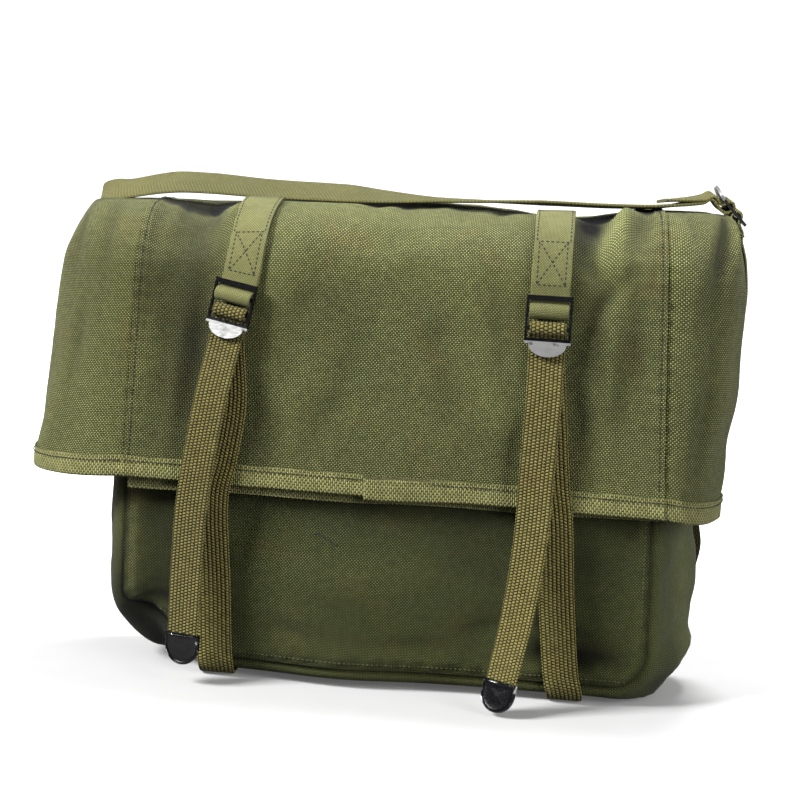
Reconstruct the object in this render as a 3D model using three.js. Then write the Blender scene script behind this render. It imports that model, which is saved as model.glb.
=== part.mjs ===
// A stuffed canvas field pack that stands on its base: an open bag under a hooded flap with two
// buckled closing straps and a carrying strap across the top.
// Millimetres, +Z up, the front faces -Y, the ground is z = 0.
import * as THREE from "three";
import { mergeVertices } from "three/addons/utils/BufferGeometryUtils.js";

// Cloth, tape and the air left between pieces that lie on each other
const canvas = 1.6;
const tape = 1.0;
const air = 0.4;

// Bag
const bagHalf = 170;
const bagShift = 4;
const bagRim = 250;
const seamBase = 13;
const cornerLeft = 36;
const cornerRight = 22;
const frontInset = 14;
const frontSeamLow = 57;
const frontSeamHigh = 44;
const backFace = 50;
const sideSwell = 13;
const baseSwell = 10.7;
const frontBelly = 6;
const toeBulge = { across: -34, wide: 42, tall: 46, out: 10 };
const bellyRise = 60;
const dentRise = 14;
const sideSquare = 2.4;
const baseSquare = 4;

// Bound seam edges at the bag's back corners
const edgeWide = 9;
const edgeThick = 2.2;
const edgeGap = 0.3;

// Flap
const hemHeight = 123.5;
const hemFront = -68;
const hemHeading = 87;
const hemTilt = 1.5;
const seamHem = 166;
const seamTop = 159;
const flapBelly = 3;
const bindingTall = 12;
const hingeLap = 18;
const domePower = 4;
const wingPower = 0.9;
const wingSag = 6;
const facingBelowLeft = 8;
const facingBelowRight = 3;
const facingRise = 55;
const facingHalf = 163;
const facingThick = 1.2;

// Webbing
const strapWide = 22;
const strapThick = 1.9;
const chapeWide = 24;
const chapeThick = 1.6;
const chapeLow = 145;
const chapeDouble = 160;
const chapeBend = 200;
const chapeHigh = 202;
const carryWide = 25;

// Buckles: a frame with bars across it, by distance below the frame's top, and a rounded lift tab
const buckleThick = 1.8;
const buckleRail = 1.8;
const bucklePlay = 0.6;
const buckleLift = 6.25;
const slotOne = { top: -3, bottom: -8 };
const slotTwo = { top: -10.6, bottom: -18 };
const slotThree = { top: -20.6, bottom: -25.2 };
const carryShort = 0.76;
const tabStart = -28.5;
const tabRound = 7.5;
const tabInset = 2.4;
const buckleLong = 30;

// Strap tips
const tipLong = 19;
const tipThick = 4.2;
const tipLap = 0.7;

// How the stuffed pack has settled: it leans to the left and its left shoulder has dropped
const leanLeft = 9;
const shoulderDrop = 8;
const settleHeight = 300;

const degrees = Math.PI / 180;
const root = new THREE.Group();
root.name = "field_pack";

// Stretches of the flap's side profile, from the front hem over the top to the back hem
const flapProfile = [
  { run: 126.5, turn: 0 },
  { run: 76, turn: -hemHeading },
  { run: 43, turn: 0 },
  { run: 37.7, turn: -90 },
  { run: 146, turn: 8 },
];
const flapStart = { a: hemFront, b: hemHeight, heading: hemHeading * degrees };
const flapLength = flapProfile.reduce((sum, stretch) => sum + stretch.run, 0);
const flapApex = flapProfile[0].run + flapProfile[1].run + flapProfile[2].run / 2;
const flapHinge = flapLength - flapProfile[4].run + hingeLap;

// Stretches of the bag's seam outline, from the left rim round the base to the right rim
const wallRun = bagRim - seamBase;
const bagOutline = [
  { run: wallRun - cornerLeft, turn: 0 },
  { run: (cornerLeft * Math.PI) / 2, turn: 90 },
  { run: 2 * bagHalf - cornerLeft - cornerRight, turn: 0 },
  { run: (cornerRight * Math.PI) / 2, turn: 90 },
  { run: wallRun - cornerRight, turn: 0 },
];
const bagStart = { a: -bagHalf, b: bagRim, heading: -90 * degrees };

// Dents of the flap's front and top: across is x, along is the distance from the hem
const flapDents = [
  { across: 124, along: 172, wide: 9, tall: 42, lean: 6, depth: 11 },
  { across: 112, along: 168, wide: 8, tall: 34, lean: 4, depth: -4 },
  { across: 118, along: 116, wide: 7, tall: 22, lean: 32, depth: 4 },
  { across: 140, along: 84, wide: 9, tall: 36, lean: -4, depth: 5 },
  { across: -142, along: 128, wide: 15, tall: 50, lean: 4, depth: 6 },
  { across: -126, along: 186, wide: 11, tall: 32, lean: -6, depth: 8 },
  { across: 10, along: 118, wide: 24, tall: 66, lean: -8, depth: 3 },
  { across: -48, along: 150, wide: 28, tall: 44, lean: 14, depth: -3 },
  { across: 40, along: 190, wide: 40, tall: 26, lean: 0, depth: 4 },
  { across: -70, along: 0, wide: 50, tall: 40, lean: 0, depth: -3 },
  { across: 60, along: 4, wide: 40, tall: 40, lean: 0, depth: 3 },
  { across: 96, along: 238, wide: 34, tall: 36, lean: 0, depth: 6 },
  { across: -25, along: 240, wide: 58, tall: 15, lean: 0, depth: -3 },
  { across: 142, along: 236, wide: 24, tall: 22, lean: 0, depth: -1 },
  { across: -122, along: 150, wide: 22, tall: 70, lean: 0, depth: 7 },
  { across: -76, along: 140, wide: 22, tall: 52, lean: 0, depth: -5 },
];

// Reach of the flap's wings past the side seams, by distance from the hem
const wingReach = [
  { along: 0, left: 64, right: 37 },
  { along: 36, left: 60, right: 42 },
  { along: 84, left: 56, right: 50 },
  { along: 138, left: 51, right: 54 },
  { along: 216, left: 44, right: 54 },
];

// Dents of the wings: round is degrees from the front seam, along is the distance from the hem
const wingDents = [
  { side: -1, round: 42, along: 120, wide: 20, tall: 55, depth: 5 },
  { side: -1, round: 78, along: 182, wide: 26, tall: 30, depth: 6 },
  { side: -1, round: 60, along: 20, wide: 24, tall: 34, depth: -4 },
  { side: 1, round: 34, along: 150, wide: 14, tall: 46, depth: 6 },
  { side: 1, round: 66, along: 104, wide: 20, tall: 40, depth: 4 },
  { side: 1, round: 44, along: 24, wide: 20, tall: 34, depth: 3 },
  { side: 1, round: 104, along: 190, wide: 30, tall: 26, depth: 15 },
];

// Dents of the bag's front panel
const bagDents = [
  { across: 122, height: 30, wide: 34, tall: 10, depth: 6 },
  { across: -132, height: 40, wide: 22, tall: 12, depth: 6 },
  { across: -30, height: 70, wide: 60, tall: 18, depth: -3 },
  { across: 45, height: 100, wide: 26, tall: 40, depth: 3 },
];

// Folds of the bag's front corners, where the cloth is pushed up and back, fading out behind the seam
const bagFolds = [{ across: -148, height: 15, wide: 24, tall: 27, rise: 23, back: 8 }];
const foldFade = 45;

// A path in a plane made of stretches, each with its length and its turn; gives the place and heading
function walk(stretches, start, distance) {
  let { a, b, heading } = start;
  let left = distance;
  stretches.forEach((stretch, index) => {
    const go = index === stretches.length - 1 ? left : Math.min(left, stretch.run);
    const turn = (stretch.turn * degrees * go) / stretch.run;
    if (Math.abs(turn) < 1e-9) {
      a += go * Math.cos(heading);
      b += go * Math.sin(heading);
    } else {
      const radius = go / turn;
      a += radius * (Math.sin(heading + turn) - Math.sin(heading));
      b += radius * (Math.cos(heading) - Math.cos(heading + turn));
      heading += turn;
    }
    left -= go;
  });
  return { a, b, heading };
}

// A smooth value between the rows of a table
function tableAt(rows, key, column, at) {
  const last = rows.length - 1;
  if (at <= rows[0][key]) return rows[0][column];
  if (at >= rows[last][key]) return rows[last][column];
  const next = rows.findIndex((row) => row[key] > at);
  const low = rows[next - 1];
  const high = rows[next];
  const share = (at - low[key]) / (high[key] - low[key]);
  return THREE.MathUtils.lerp(low[column], high[column], share * share * (3 - 2 * share));
}

// A bell-shaped dent, 1 in its middle
function bell(p, wide, q, tall) {
  return Math.exp(-((p / wide) ** 2) - (q / tall) ** 2);
}

function spread(from, to, count) {
  return Array.from({ length: count + 1 }, (unused, i) => from + ((to - from) * i) / count);
}

// Distances along the stretches of a path, with a number of steps in each
function stationsOf(stretches, steps) {
  let from = 0;
  return stretches.flatMap((stretch, index) => {
    const along = spread(from, from + stretch.run, steps[index]);
    from += stretch.run;
    return index === 0 ? along : along.slice(1);
  });
}

// Half the width of the flap's front panel at a distance from the hem
function seamHalf(along) {
  return THREE.MathUtils.lerp(seamHem, seamTop, THREE.MathUtils.clamp(along / flapApex, 0, 1));
}

// How far the flap's front stands out of its plain profile
function flapRelief(x, along) {
  const across = 1 - (x / seamHalf(along)) ** 2;
  let relief = flapBelly * across * Math.sin(Math.PI * THREE.MathUtils.clamp(along / flapApex, 0, 1));
  for (const dent of flapDents) {
    const cos = Math.cos(dent.lean * degrees);
    const sin = Math.sin(dent.lean * degrees);
    const p = (x - dent.across) * cos - (along - dent.along) * sin;
    const q = (x - dent.across) * sin + (along - dent.along) * cos;
    relief -= dent.depth * bell(p, dent.wide, q, dent.tall);
  }
  return relief;
}

// How far along the profile the hem hangs lower on the right and higher on the left
function hemShift(x, along) {
  return (hemTilt * x * Math.min(0, along / flapApex - 1)) / seamHem;
}

// A point of the flap's front and top, out mm from its outer face
function flapFront(x, along, out) {
  const place = walk(flapProfile, flapStart, along + hemShift(x, along));
  const lift = out + flapRelief(x, along);
  return new THREE.Vector3(
    x,
    place.a - Math.sin(place.heading) * lift,
    place.b + Math.cos(place.heading) * lift,
  );
}

// A point over the flap's front where a flat band of a width, turned to face left by an angle, rests on the
// highest of the cloth under it
function restOnFlap(x, along, out, wide, face = 0) {
  const cos = Math.cos(face * degrees);
  const sin = Math.sin(face * degrees);
  const steps = spread(-wide / 2, wide / 2, 4);
  const heights = steps.map((step) => flapRelief(x + step * cos, along) - step * sin);
  return flapFront(x, along, out + Math.max(...heights) - flapRelief(x, along));
}

// A point of a wing: round goes from the front seam to the back, up from the hem to the apex
function flapWing(side, round, up, out) {
  const along = up * flapApex;
  const seam = seamHalf(along);
  const cos = Math.cos(round * degrees);
  const sin = Math.sin(round * degrees);
  const shift = hemShift(side * seam, along) - wingSag * sin * (1 - up);
  const front = walk(flapProfile, flapStart, along + shift);
  const back = walk(flapProfile, flapStart, flapLength - up * (flapLength - flapApex) - shift);
  let relief = flapRelief(side * seam, along) * Math.max(cos, 0) ** 2;
  for (const dent of wingDents) {
    if (dent.side !== side) continue;
    const share = bell(round - dent.round, dent.wide, along - dent.along, dent.tall);
    relief -= dent.depth * share * sin ** 2;
  }
  const lift = out + relief * (1 - up ** domePower);
  const frontY = front.a - Math.sin(front.heading) * lift;
  const frontZ = front.b + Math.cos(front.heading) * lift;
  const backY = back.a - Math.sin(back.heading) * lift;
  const backZ = back.b + Math.cos(back.heading) * lift;
  const reach = tableAt(wingReach, "along", side < 0 ? "left" : "right", along);
  const dome = (1 - Math.min(1, Math.max(0, up)) ** domePower) ** (1 / domePower);
  return new THREE.Vector3(
    side * (seam + air / 2 + Math.max(0, reach * dome + lift * dome) * sin ** wingPower),
    (frontY + backY) / 2 - ((backY - frontY) / 2) * cos,
    (frontZ * (1 + cos)) / 2 + (backZ * (1 - cos)) / 2,
  );
}

// How far the bag's front seam stands forward, with the bulge of its lower edge between the straps
function frontSeam(x, z) {
  const plain = THREE.MathUtils.mapLinear(z, seamBase, bagRim, frontSeamLow, frontSeamHigh);
  return plain + toeBulge.out * bell(x - toeBulge.across, toeBulge.wide, z - seamBase, toeBulge.tall);
}

// Half the width of the bag's panels at a height, on one side
function bagHalfAt(side, z) {
  const corner = side < 0 ? cornerLeft : cornerRight;
  const low = Math.max(0, corner - (z - seamBase));
  return bagHalf - corner + Math.sqrt(corner ** 2 - low ** 2);
}

// How far the right front seam stands in from the right back seam
function insetAt(x) {
  return frontInset * THREE.MathUtils.smoothstep(x, 0, bagHalf);
}

// A point of the bag's front or gusset moved by the corner folds
function folded(point) {
  const near = THREE.MathUtils.smoothstep(-point.y, frontSeamLow - foldFade, frontSeamLow);
  for (const fold of bagFolds) {
    const weight = near * bell(point.x - fold.across, fold.wide, point.z - fold.height, fold.tall);
    point.y += fold.back * weight;
    point.z += fold.rise * weight;
  }
  return point;
}

// A point of the bag's front panel: share goes from its left edge, -1, to its right edge, 1
function bagFront(share, z, out) {
  const x = share * bagHalfAt(share, z);
  const rise = THREE.MathUtils.smoothstep(z, seamBase, seamBase + bellyRise);
  const inside = (1 - share ** 4) * THREE.MathUtils.smoothstep(z, seamBase, seamBase + dentRise);
  let y = -frontSeam(x, z) - frontBelly * (1 - share ** 2) * rise;
  for (const dent of bagDents) {
    y += dent.depth * inside * bell(x - dent.across, dent.wide, z - dent.height, dent.tall);
  }
  return folded(new THREE.Vector3(x + bagShift - insetAt(x), y - out, z));
}

// A point of the gusset: along follows the seam outline, share goes from the front to the back
function gusset(along, share, out) {
  const place = walk(bagOutline, bagStart, along);
  const outX = Math.sin(place.heading);
  const outZ = -Math.cos(place.heading);
  const swell = sideSwell * outX ** 2 + baseSwell * outZ ** 2;
  const power = THREE.MathUtils.lerp(sideSquare, baseSquare, outZ ** 2);
  const round = (1 - Math.abs(2 * share - 1) ** power) ** (1 / power);
  const lift = swell * round + out;
  const front = -frontSeam(place.a, place.b) + canvas + air;
  const back = backFace - canvas - air;
  return folded(
    new THREE.Vector3(
      place.a + bagShift + outX * lift - insetAt(place.a) * (1 - share),
      THREE.MathUtils.lerp(front, back, share),
      place.b + outZ * lift,
    ),
  );
}

// The settled place of a point of the pack
function settle(point) {
  const up = point.z / settleHeight;
  point.x += leanLeft * (0.5 - up);
  point.z += (shoulderDrop * up ** 3 * point.x) / bagHalf;
  return point;
}

// A closed surface from corner points: joined, settled, without collapsed faces, facing out
function closedSurface(corners) {
  const loose = new THREE.BufferGeometry().setFromPoints(corners.map((corner) => settle(corner.clone())));
  const joined = mergeVertices(loose, 1e-3);
  const at = joined.getAttribute("position");
  const kept = [];
  let volume = 0;
  const [a, b, c] = [new THREE.Vector3(), new THREE.Vector3(), new THREE.Vector3()];
  for (let i = 0; i < joined.index.count; i += 3) {
    const face = [0, 1, 2].map((k) => joined.index.getX(i + k));
    if (new Set(face).size < 3) continue;
    kept.push(...face);
    [a, b, c].forEach((corner, k) => corner.fromBufferAttribute(at, face[k]));
    volume += a.dot(b.cross(c));
  }
  joined.setIndex(volume < 0 ? kept.reverse() : kept);
  joined.computeVertexNormals();
  return joined;
}

// A solid through rings of points; each ring goes along one face and back along the other
function loft(rings, closed = false) {
  const count = rings[0].length;
  const corners = [];
  const quad = (p, q, r, s) => corners.push(p, q, r, p, r, s);
  rings.forEach((ring, i) => {
    if (!closed && i === rings.length - 1) return;
    const next = rings[(i + 1) % rings.length];
    ring.forEach((point, k) => quad(point, ring[(k + 1) % count], next[(k + 1) % count], next[k]));
  });
  if (!closed) {
    const [first, last] = [rings[0], rings[rings.length - 1]];
    for (let k = 0; k < count / 2 - 1; k++) {
      quad(first[count - 1 - k], first[count - 2 - k], first[k + 1], first[k]);
      quad(last[k], last[k + 1], last[count - 2 - k], last[count - 1 - k]);
    }
  }
  return closedSurface(corners);
}

// A cloth wall of a surface, between two distances from its outer face
function wall(surface, us, vs, outer = 0, inner = -canvas) {
  return loft(
    us.map((u) => [
      ...vs.map((v) => surface(u, v, outer)),
      ...[...vs].reverse().map((v) => surface(u, v, inner)),
    ]),
  );
}

// A flat band along points, each with the direction across the band
function band(points, acrosses, wide, thick) {
  return loft(
    points.map((point, i) => {
      const before = points[Math.max(0, i - 1)];
      const after = points[Math.min(points.length - 1, i + 1)];
      const along = after.clone().sub(before).normalize();
      const across = acrosses[i].clone().addScaledVector(along, -along.dot(acrosses[i])).normalize();
      const normal = across.clone().cross(along);
      const corner = (p, q) =>
        point
          .clone()
          .addScaledVector(across, (p * wide) / 2)
          .addScaledVector(normal, (q * thick) / 2);
      return [corner(-1, 1), corner(1, 1), corner(1, -1), corner(-1, -1)];
    }),
  );
}

function add(name, geometry, material) {
  const mesh = new THREE.Mesh(geometry, material);
  mesh.name = name;
  root.add(mesh);
  return mesh;
}

function material(color, roughness, metalness) {
  return new THREE.MeshStandardMaterial({ color, roughness, metalness });
}

const flapCloth = material(0x545436, 0.95, 0);
const bagCloth = material(0x3f432b, 0.95, 0);
const webbing = material(0x77714a, 0.9, 0);
const bindingTape = material(0x5e5a3a, 0.9, 0);
const blackSteel = material(0x1c1c1c, 0.4, 0.8);
const brightSteel = material(0xa9a9a4, 0.35, 1);

// Bag
const cornerRows = spread(0, 90, 6).map((turn) => seamBase + cornerLeft * (1 - Math.cos(turn * degrees)));
const wallRows = spread(seamBase + cornerLeft, bagRim, 7).slice(1);
const gussetShares = spread(0, 180, 6).map((turn) => 0.5 - 0.5 * Math.cos(turn * degrees));
const gussetStations = stationsOf(bagOutline, [6, 5, 22, 5, 6]);
add("bag_front", wall(bagFront, spread(-1, 1, 26), [...cornerRows, ...wallRows]), bagCloth);
add("bag_gusset", wall(gusset, gussetStations, gussetShares), bagCloth);
const bagBack = (share, z, out) => {
  return new THREE.Vector3(bagShift + share * bagHalfAt(share, z), backFace + out, z);
};
add("bag_back", wall(bagBack, spread(-1, 1, 2), [...cornerRows, bagRim]), bagCloth);

// Bound seam edges standing out at the back corners, bulging out below the flap
const edgeBulge = [
  { z: 36, left: 0, right: 0 },
  { z: 50, left: 0, right: 5 },
  { z: 68, left: 9, right: 11 },
  { z: 88, left: 13, right: 14 },
  { z: 104, left: 11, right: 12 },
  { z: 115, left: 8, right: 9 },
];
for (const [name, side, start] of [["left", -1, 50], ["right", 1, 36]]) {
  const heights = spread(start, edgeBulge[5].z, 12);
  const middles = heights.map(
    (z) =>
      new THREE.Vector3(
        bagShift + side * (bagHalf + edgeGap + edgeWide / 2 + tableAt(edgeBulge, "z", name, z)),
        backFace - canvas + edgeThick / 2,
        z,
      ),
  );
  const acrosses = heights.map(() => new THREE.Vector3(1, 0, 0));
  add("back_edge_" + name, band(middles, acrosses, edgeWide, edgeThick), bindingTape);
}

// Flap
const frontRows = [...stationsOf(flapProfile.slice(0, 4), [8, 6, 3, 4]), flapHinge];
const frontColumns = spread(-1, 1, 24);
const flapPanel = (share, along, out) => flapFront(share * seamHalf(along), along, out);
add("flap_front", wall(flapPanel, frontColumns, frontRows), flapCloth);
const wingRows = [...frontRows.filter((along) => along < flapApex).map((along) => along / flapApex), 1];
const wingRounds = spread(0, 180, 12);
for (const [name, side] of [["left", -1], ["right", 1]]) {
  const wing = (round, up, out) => flapWing(side, round, up, out);
  add("flap_wing_" + name, wall(wing, wingRounds, wingRows), flapCloth);
}
const facingOut = -canvas - tape - 4 * air;
const facingPoint = (x, share, out) => {
  const below = THREE.MathUtils.mapLinear(x, -facingHalf, facingHalf, facingBelowLeft, facingBelowRight);
  return flapFront(x, THREE.MathUtils.lerp(-below, facingRise, share), out);
};
const facingColumns = spread(-facingHalf, facingHalf, 18);
const facingBack = facingOut - facingThick;
add("flap_facing", wall(facingPoint, facingColumns, spread(0, 1, 3), facingOut, facingBack), flapCloth);

// Hem binding: a tape folded round the hem of the wings and the front
const hemStations = [
  ...[...wingRounds].reverse().map((round) => (along, out) => flapWing(-1, round, along / flapApex, out)),
  ...frontColumns.map((share) => (along, out) => flapPanel(share, along, out)),
  ...wingRounds.map((round) => (along, out) => flapWing(1, round, along / flapApex, out)),
];
const tapeOut = air + tape;
const tapeIn = -canvas - air;
const hemRing = (station) => [
  station(bindingTall, tapeOut),
  station(-air - tape, tapeOut),
  station(-air - tape, tapeIn - tape),
  station(bindingTall, tapeIn - tape),
  station(bindingTall, tapeIn),
  station(-air, tapeIn),
  station(-air, air),
  station(bindingTall, air),
];
add("hem_binding", loft(hemStations.map(hemRing)), bindingTape);

// The way of a strap through its buckle: up is along the buckle, out is from the cloth under it
const strapThread = [
  { up: -34, out: 1.6 },
  { up: -22, out: 1.6 },
  { up: -18.2, out: 2.6 },
  { up: -16.2, out: 5 },
  { up: -16.7, out: 7.4 },
  { up: -19.3, out: 8.7 },
  { up: -21.9, out: 7.6 },
  { up: -22.9, out: 5.4 },
  { up: -24.6, out: 4 },
  { up: -34, out: 4 },
];

// The way of a chape through its buckle, from its free end under itself round the bar and back
const chapeThread = [
  { up: 26, out: 1.2 },
  { up: 6, out: 1.2 },
  { up: -6, out: 1.2 },
  { up: -11, out: 1.9 },
  { up: -13, out: 4 },
  { up: -12.6, out: 7.2 },
  { up: -9.3, out: 9 },
  { up: -6.1, out: 7.4 },
  { up: -5.4, out: 4.9 },
  { up: -1, out: 3.2 },
  { up: 8, out: 3.2 },
  { up: 26, out: 3.2 },
];

function pointIn(frame, row) {
  return frame.origin.clone().addScaledVector(frame.up, row.up).addScaledVector(frame.out, row.out);
}

// A band through control stations, with two steps from each to the next
function webbingAlong(stations, wide, thick) {
  const steps = 2 * (stations.length - 1);
  const curve = new THREE.CatmullRomCurve3(stations.map((station) => station.at));
  const points = spread(0, 1, steps).map((share) => curve.getPoint(share));
  const acrosses = points.map((unused, i) => {
    const low = stations[Math.floor(i / 2)].across;
    const high = stations[Math.ceil(i / 2)].across;
    return low.clone().lerp(high, 0.5);
  });
  return { points, acrosses, geometry: band(points, acrosses, wide, thick) };
}

// A geometry placed by the directions of its x and y axes
function placed(geometry, origin, across, up) {
  const out = across.clone().cross(up);
  const matrix = new THREE.Matrix4().makeBasis(across, up, out).setPosition(origin);
  const loose = geometry.clone().applyMatrix4(matrix).getAttribute("position");
  return closedSurface(
    Array.from({ length: loose.count }, (unused, i) => new THREE.Vector3().fromBufferAttribute(loose, i)),
  );
}

function buckleFrame(wide) {
  const slotHalf = wide / 2 + bucklePlay;
  const half = slotHalf + buckleRail;
  const tabHalf = half - tabInset;
  const shape = new THREE.Shape();
  shape.moveTo(-half, 0);
  shape.lineTo(-half, tabStart);
  shape.lineTo(-tabHalf, tabStart);
  shape.absellipse(0, tabStart, tabHalf, tabRound, Math.PI, 2 * Math.PI, false);
  shape.lineTo(half, tabStart);
  shape.lineTo(half, 0);
  for (const slot of [slotOne, slotTwo, slotThree]) {
    const hole = new THREE.Path();
    hole.moveTo(-slotHalf, slot.top);
    hole.lineTo(slotHalf, slot.top);
    hole.lineTo(slotHalf, slot.bottom);
    hole.lineTo(-slotHalf, slot.bottom);
    shape.holes.push(hole);
  }
  const plate = { depth: buckleThick, bevelEnabled: false, curveSegments: 8 };
  const frame = new THREE.ExtrudeGeometry(shape, plate);
  return frame.translate(0, 0, buckleLift - buckleThick / 2);
}

function strapTip(wide) {
  const half = wide / 2 + tipLap;
  const shape = new THREE.Shape();
  shape.moveTo(-half, 0);
  shape.lineTo(-half, half - tipLong);
  shape.absarc(0, half - tipLong, half, Math.PI, 2 * Math.PI, false);
  shape.lineTo(half, 0);
  const tip = new THREE.ExtrudeGeometry(shape, { depth: tipThick, bevelEnabled: false, curveSegments: 6 });
  return tip.translate(0, 0, -tipThick / 2);
}

// Closing straps, each with its buckle's place on the flap and its free end's way down
const closings = [
  {
    name: "left",
    buckle: { across: -96, along: 126, roll: 11, face: 18 },
    chapeTop: -87,
    foot: -106,
    climb: -110,
    freeEnd: [
      { x: -110, y: -78, z: 184, twist: 18 },
      { x: -116, y: -79.5, z: 148, twist: 19 },
      { x: -121, y: -80, z: 110, twist: 20 },
      { x: -123, y: -80.5, z: 70, twist: 22 },
      { x: -123.5, y: -84, z: 32, twist: 25 },
    ],
  },
  {
    name: "right",
    buckle: { across: 91, along: 127, roll: 1, face: 0 },
    chapeTop: 93,
    foot: 111,
    climb: 100,
    freeEnd: [
      { x: 90, y: -75, z: 188, twist: 3 },
      { x: 88, y: -77, z: 148, twist: 8 },
      { x: 86, y: -80, z: 106, twist: 18 },
      { x: 80, y: -87, z: 60, twist: 28 },
      { x: 72, y: -97, z: 21, twist: 35 },
    ],
  },
];
const plainAcross = new THREE.Vector3(1, 0, 0);
const turned = (twist) => new THREE.Vector3(Math.cos(twist * degrees), -Math.sin(twist * degrees), 0);
const strapRest = strapThick / 2;

// A closing strap's way under the base and up the bag's front: share goes from its foot to its climb
const underBase = [
  { y: 42, z: strapRest, share: 0 },
  { y: 0, z: strapRest, share: 0 },
  { y: -30, z: strapRest, share: 0 },
  { y: -42, z: 1.08, share: 0 },
  { y: -50, z: 1.8, share: 0 },
  { y: -56, z: 4.8, share: 0 },
  { y: -59.3, z: 10, share: 0.1 },
  { y: -60.4, z: 17, share: 0.25 },
  { y: -64, z: 60, share: 0.65 },
];

// Its way up the flap: share goes from its climb to its buckle, sink is the step down from the tape's face
const strapClimb = [
  { along: -6, share: 0, sink: 0 },
  { along: bindingTall + 2, share: 0.3, sink: 0 },
  { along: 50, share: 0.65, sink: tape },
];
for (const closing of closings) {
  const { across, along, roll, face } = closing.buckle;
  const below = restOnFlap(across, along - buckleLong, air, chapeWide, face);
  const above = restOnFlap(across, along, air, chapeWide, face);
  const rise = above.clone().sub(below).normalize();
  const frame = { origin: above, out: plainAcross.clone().cross(rise) };
  frame.up = rise.clone().applyAxisAngle(frame.out, -roll * degrees);
  frame.across = plainAcross.clone().applyAxisAngle(frame.out, -roll * degrees);
  frame.across.applyAxisAngle(frame.up, -face * degrees);
  frame.out.applyAxisAngle(frame.up, -face * degrees);
  const buckle = placed(buckleFrame(chapeWide), frame.origin, frame.across, frame.up);
  add("buckle_" + closing.name, buckle, brightSteel);

  const chapeRun = spread(chapeLow, chapeHigh, 4).map((at) => {
    const x = THREE.MathUtils.mapLinear(at, along, chapeBend, across, closing.chapeTop);
    const under = at < chapeDouble ? chapeThick + air : 0;
    const fade = face * (1 - THREE.MathUtils.smoothstep(at, chapeDouble, chapeHigh));
    const rest = restOnFlap(x, at, 3 * air + chapeThick / 2 + under, chapeWide, fade);
    return { at: rest, across: turned(fade) };
  });
  const chapeStations = [
    ...chapeThread.slice(0, -1).map((row) => ({ at: pointIn(frame, row), across: frame.across })),
    ...chapeRun,
  ];
  add("chape_" + closing.name, webbingAlong(chapeStations, chapeWide, chapeThick).geometry, webbing);

  const hemOut = tapeOut + air + strapRest;
  const strapStations = [
    ...underBase.map((row) => ({
      at: new THREE.Vector3(THREE.MathUtils.lerp(closing.foot, closing.climb, row.share), row.y, row.z),
      across: plainAcross,
    })),
    ...strapClimb.map((row) => ({
      at: restOnFlap(
        THREE.MathUtils.lerp(closing.climb, across, row.share),
        row.along,
        hemOut - row.sink,
        strapWide,
        face * row.share,
      ),
      across: turned(face * row.share),
    })),
    ...strapThread.map((row) => ({ at: pointIn(frame, row), across: frame.across })),
    ...closing.freeEnd.map((row) => ({
      at: new THREE.Vector3(row.x, row.y, row.z),
      across: turned(row.twist),
    })),
  ];
  const strap = webbingAlong(strapStations, strapWide, strapThick);
  add("closing_strap_" + closing.name, strap.geometry, webbing);

  const end = strap.points[strap.points.length - 1];
  const up = strap.points[strap.points.length - 2].clone().sub(end).normalize();
  const tipAcross = strap.acrosses[strap.acrosses.length - 1].clone();
  tipAcross.addScaledVector(up, -up.dot(tipAcross)).normalize();
  const tipTop = end.clone().addScaledVector(up, -air);
  add("strap_tip_" + closing.name, placed(strapTip(strapWide), tipTop, tipAcross, up), blackSteel);
}

// Carrying strap: sewn to the flap's back at the left, across the top, and through a buckle at the right
const carryUp = new THREE.Vector3(0.7, 0.12, -0.7).normalize();
const carryLean = new THREE.Vector3(0.7, 0.02, 0.7);
const carryOut = carryLean.addScaledVector(carryUp, -carryLean.dot(carryUp)).normalize();
const carryFrame = {
  origin: new THREE.Vector3(205.5, 20.5, 287),
  up: carryUp,
  out: carryOut,
  across: carryUp.clone().cross(carryOut),
};
const inCarryFrame = (row) => ({
  at: pointIn(carryFrame, { up: row.up * carryShort, out: row.out }),
  across: carryFrame.across,
});
const shortBuckle = buckleFrame(carryWide).scale(1, carryShort, 1);
add("carry_buckle", placed(shortBuckle, carryFrame.origin, carryFrame.across, carryFrame.up), brightSteel);

// The strap's lower layer to the buckle, its turn to and from the buckle, and its upper layer back
const carryLower = [
  { x: -150, y: 57.6, z: 266, tilt: 90 },
  { x: -178, y: 60.5, z: 277, tilt: 88 },
  { x: -198, y: 58.5, z: 286, tilt: 70 },
  { x: -203, y: 48.5, z: 295, tilt: 30 },
  { x: -194, y: 35, z: 301.4, tilt: 16 },
  { x: -181, y: 28, z: 303.6, tilt: 16 },
  { x: -152, y: 18, z: 308.6, tilt: 23 },
  { x: -129, y: 15, z: 308.2, tilt: 20 },
  { x: -90, y: 12, z: 306.4, tilt: 16 },
  { x: -39, y: 11, z: 303.6, tilt: 15 },
  { x: -15, y: 10, z: 302.6, tilt: 9 },
  { x: 17, y: 10, z: 301.3, tilt: -1 },
  { x: 83, y: 8, z: 301.1, tilt: -6 },
  { x: 128, y: 9, z: 300.1, tilt: -5 },
  { x: 160, y: 12, z: 300.6, tilt: -4 },
];
const carryUpper = [{ x: 158, y: 12, z: 303.4, tilt: -4 }];
const carryThread = [
  { up: -34, out: 1.2 },
  { up: -22, out: 1.2 },
  { up: -17.7, out: 2.4 },
  { up: -15.8, out: 5 },
  { up: -16.1, out: 7.7 },
  { up: -19.3, out: 9.2 },
  { up: -22.3, out: 7.9 },
  { up: -23, out: 5.4 },
  { up: -24.2, out: 3.7 },
  { up: -34, out: 3.5 },
];
const carryTurn = { up: -37, lower: -4.4, upper: -1.7 };
const tilted = (tilt) => new THREE.Vector3(0, -Math.cos(tilt * degrees), -Math.sin(tilt * degrees));
const onTop = (row) => ({ at: new THREE.Vector3(row.x, row.y, row.z), across: tilted(row.tilt) });
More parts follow.
